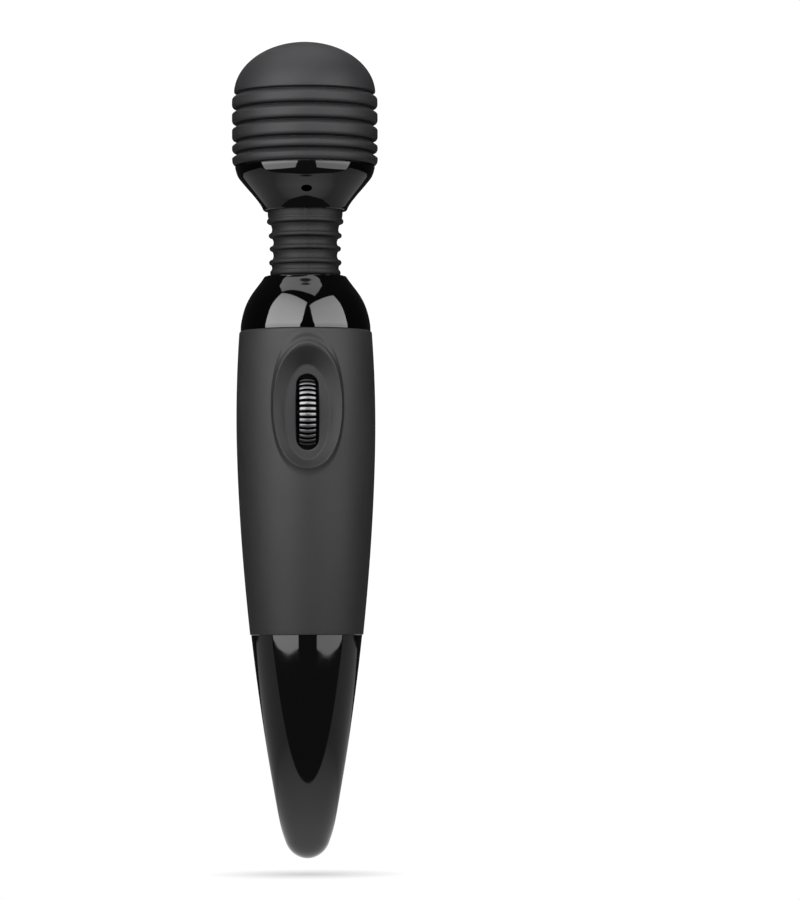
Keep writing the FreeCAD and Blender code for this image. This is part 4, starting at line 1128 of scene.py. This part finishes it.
def window(name, side, corners, radiance):
    """Tall bright panel for reflections; corners are (sideways, height) and its ends are dimmer."""
    material = plain_white(name + "_glow", radiance)
    nodes = material.node_tree.nodes
    links = material.node_tree.links
    coords = nodes.new("ShaderNodeTexCoord")
    parts = nodes.new("ShaderNodeSeparateXYZ")
    links.new(coords.outputs["Object"], parts.inputs["Vector"])
    tone = ramp(nodes, links, parts.outputs["Z"], grey(0.45), grey(0.5), (0.0, 0.95))
    tone.color_ramp.elements.new(0.12).color = (*grey(0.45), 1)
    tone.color_ramp.elements.new(0.30).color = (1, 1, 1, 1)
    links.new(tone.outputs["Color"], nodes["Principled BSDF"].inputs["Emission Color"])
    panel = card(name, [(across, 0, level) for across, level in corners], material)
    azimuth = math.radians(side * WINDOW_AZIMUTH_DEG)
    place = (math.sin(azimuth) * WINDOW_DISTANCE, -math.cos(azimuth) * WINDOW_DISTANCE, TIP)
    panel.location = place
    panel.rotation_euler = (0, 0, azimuth)
    only_reflected(panel)


def rectangle(left, right, front, back):
    """Corners of a level rectangle."""
    return [(left, front, 0), (right, front, 0), (right, back, 0), (left, back, 0)]


def room():
    """White surroundings for the camera that light the wand only a little."""
    world = bpy.data.worlds.new("room")
    world.use_nodes = True
    nodes = world.node_tree.nodes
    links = world.node_tree.links
    back = nodes["Background"]
    back.inputs["Color"].default_value = (1, 1, 1, 1)
    back.inputs["Strength"].default_value = 0.022
    seen = nodes.new("ShaderNodeBackground")
    seen.inputs["Color"].default_value = (1, 1, 1, 1)
    seen.inputs["Strength"].default_value = 1.05
    path = nodes.new("ShaderNodeLightPath")
    mix = nodes.new("ShaderNodeMixShader")
    links.new(path.outputs["Is Camera Ray"], mix.inputs["Fac"])
    links.new(back.outputs["Background"], mix.inputs[1])
    links.new(seen.outputs["Background"], mix.inputs[2])
    links.new(mix.outputs["Shader"], nodes["World Output"].inputs["Surface"])
    bpy.context.scene.world = world


# The unscrewed cap comes down nearly this far, so the paper under the wand lies below it.
CAP_DROP = 0.0063
FLOOR_REACH = 3.0
TABLE_FRONT = -0.11
TABLE_REACH = 0.75
APRON_DROP = 0.06
SKYLIGHT_HEIGHT = 1.02


def studio():
    """Windows, skylight and table for the reflections, two soft lights, pale paper, white room."""
    window("window_left", -1, [(-0.235, 0.006), (0.22, -0.022), (0.475, 0.854), (-0.235, 0.953)], 7.9)
    window("window_right", 1, [(-0.215, -0.022), (0.24, 0.006), (0.24, 0.80), (-0.346, 0.668)], 6.1)
    corners = [(-0.49, -0.08, 0), (0.213, -0.453, 0), (0.45, 0.4, 0), (-0.49, 0.4, 0)]
    skylight = card("skylight", corners, plain_white("skylight_glow", 2.3))
    skylight.location = (0, 0, TIP + SKYLIGHT_HEIGHT)
    only_reflected(skylight)
    softbox("key", -8, 1.04, 16.6, lean_deg=46)
    softbox("back_fill", 174, 1.0, 20.0, lean_deg=45)
    room()
    corners = rectangle(-FLOOR_REACH, FLOOR_REACH, -FLOOR_REACH, FLOOR_REACH)
    # The floor takes no light, so its glow is dimmed near the tip: a painted contact shadow.
    floor = card("floor", corners, glowing_paper("floor_painted_shadow", 0.04, 1.0, 0.62))
    floor.location = (0, 0, TIP - CAP_DROP)
    floor.visible_glossy = False
    floor.visible_diffuse = False
    corners = rectangle(-TABLE_REACH, TABLE_REACH, TABLE_FRONT, TABLE_REACH)
    table = card("table", corners, glowing_paper("table_paper", 0.2, 0.40, 1.5))
    table.location = (0, 0, TIP - CAP_DROP - MM)
    only_reflected(table)
    corners = rectangle(-TABLE_REACH, TABLE_REACH, -FLOOR_REACH, TABLE_FRONT)
    apron = card("apron", corners, plain_white("apron_paper", 0.09))
    apron.location = (0, 0, TIP - APRON_DROP)
    only_reflected(apron)
    bpy.context.scene.view_settings.view_transform = "Standard"


# ---------------------------------------------------------------- assemble

MATERIALS = build_materials()
pieces = [
    (head_cushion_skin(), "head_silicone"),
    (head_cup_gloss(), "gloss_black"),
    (shoulder_gloss(), "gloss_black"),
    (tail_gloss(), "gloss_black"),
    (grip_sleeve_skin(), "soft_touch_grip"),
    (speed_wheel_rim(), "wheel_plastic"),
]
pieces += [(piece, "neck_rubber") for piece in neck_bellows()]
pieces += neck_core(NECK_CHAIN)
# Black frame in the wheel's slot: painted shade.
pieces.append((slot_shade_frame(), "recess_black"))
pieces += [(piece, "component_black") for piece in axle_washers()]
pieces += [(piece, "gloss_black") for piece in motor_posts()]
dress(pieces)
camera()
studio()
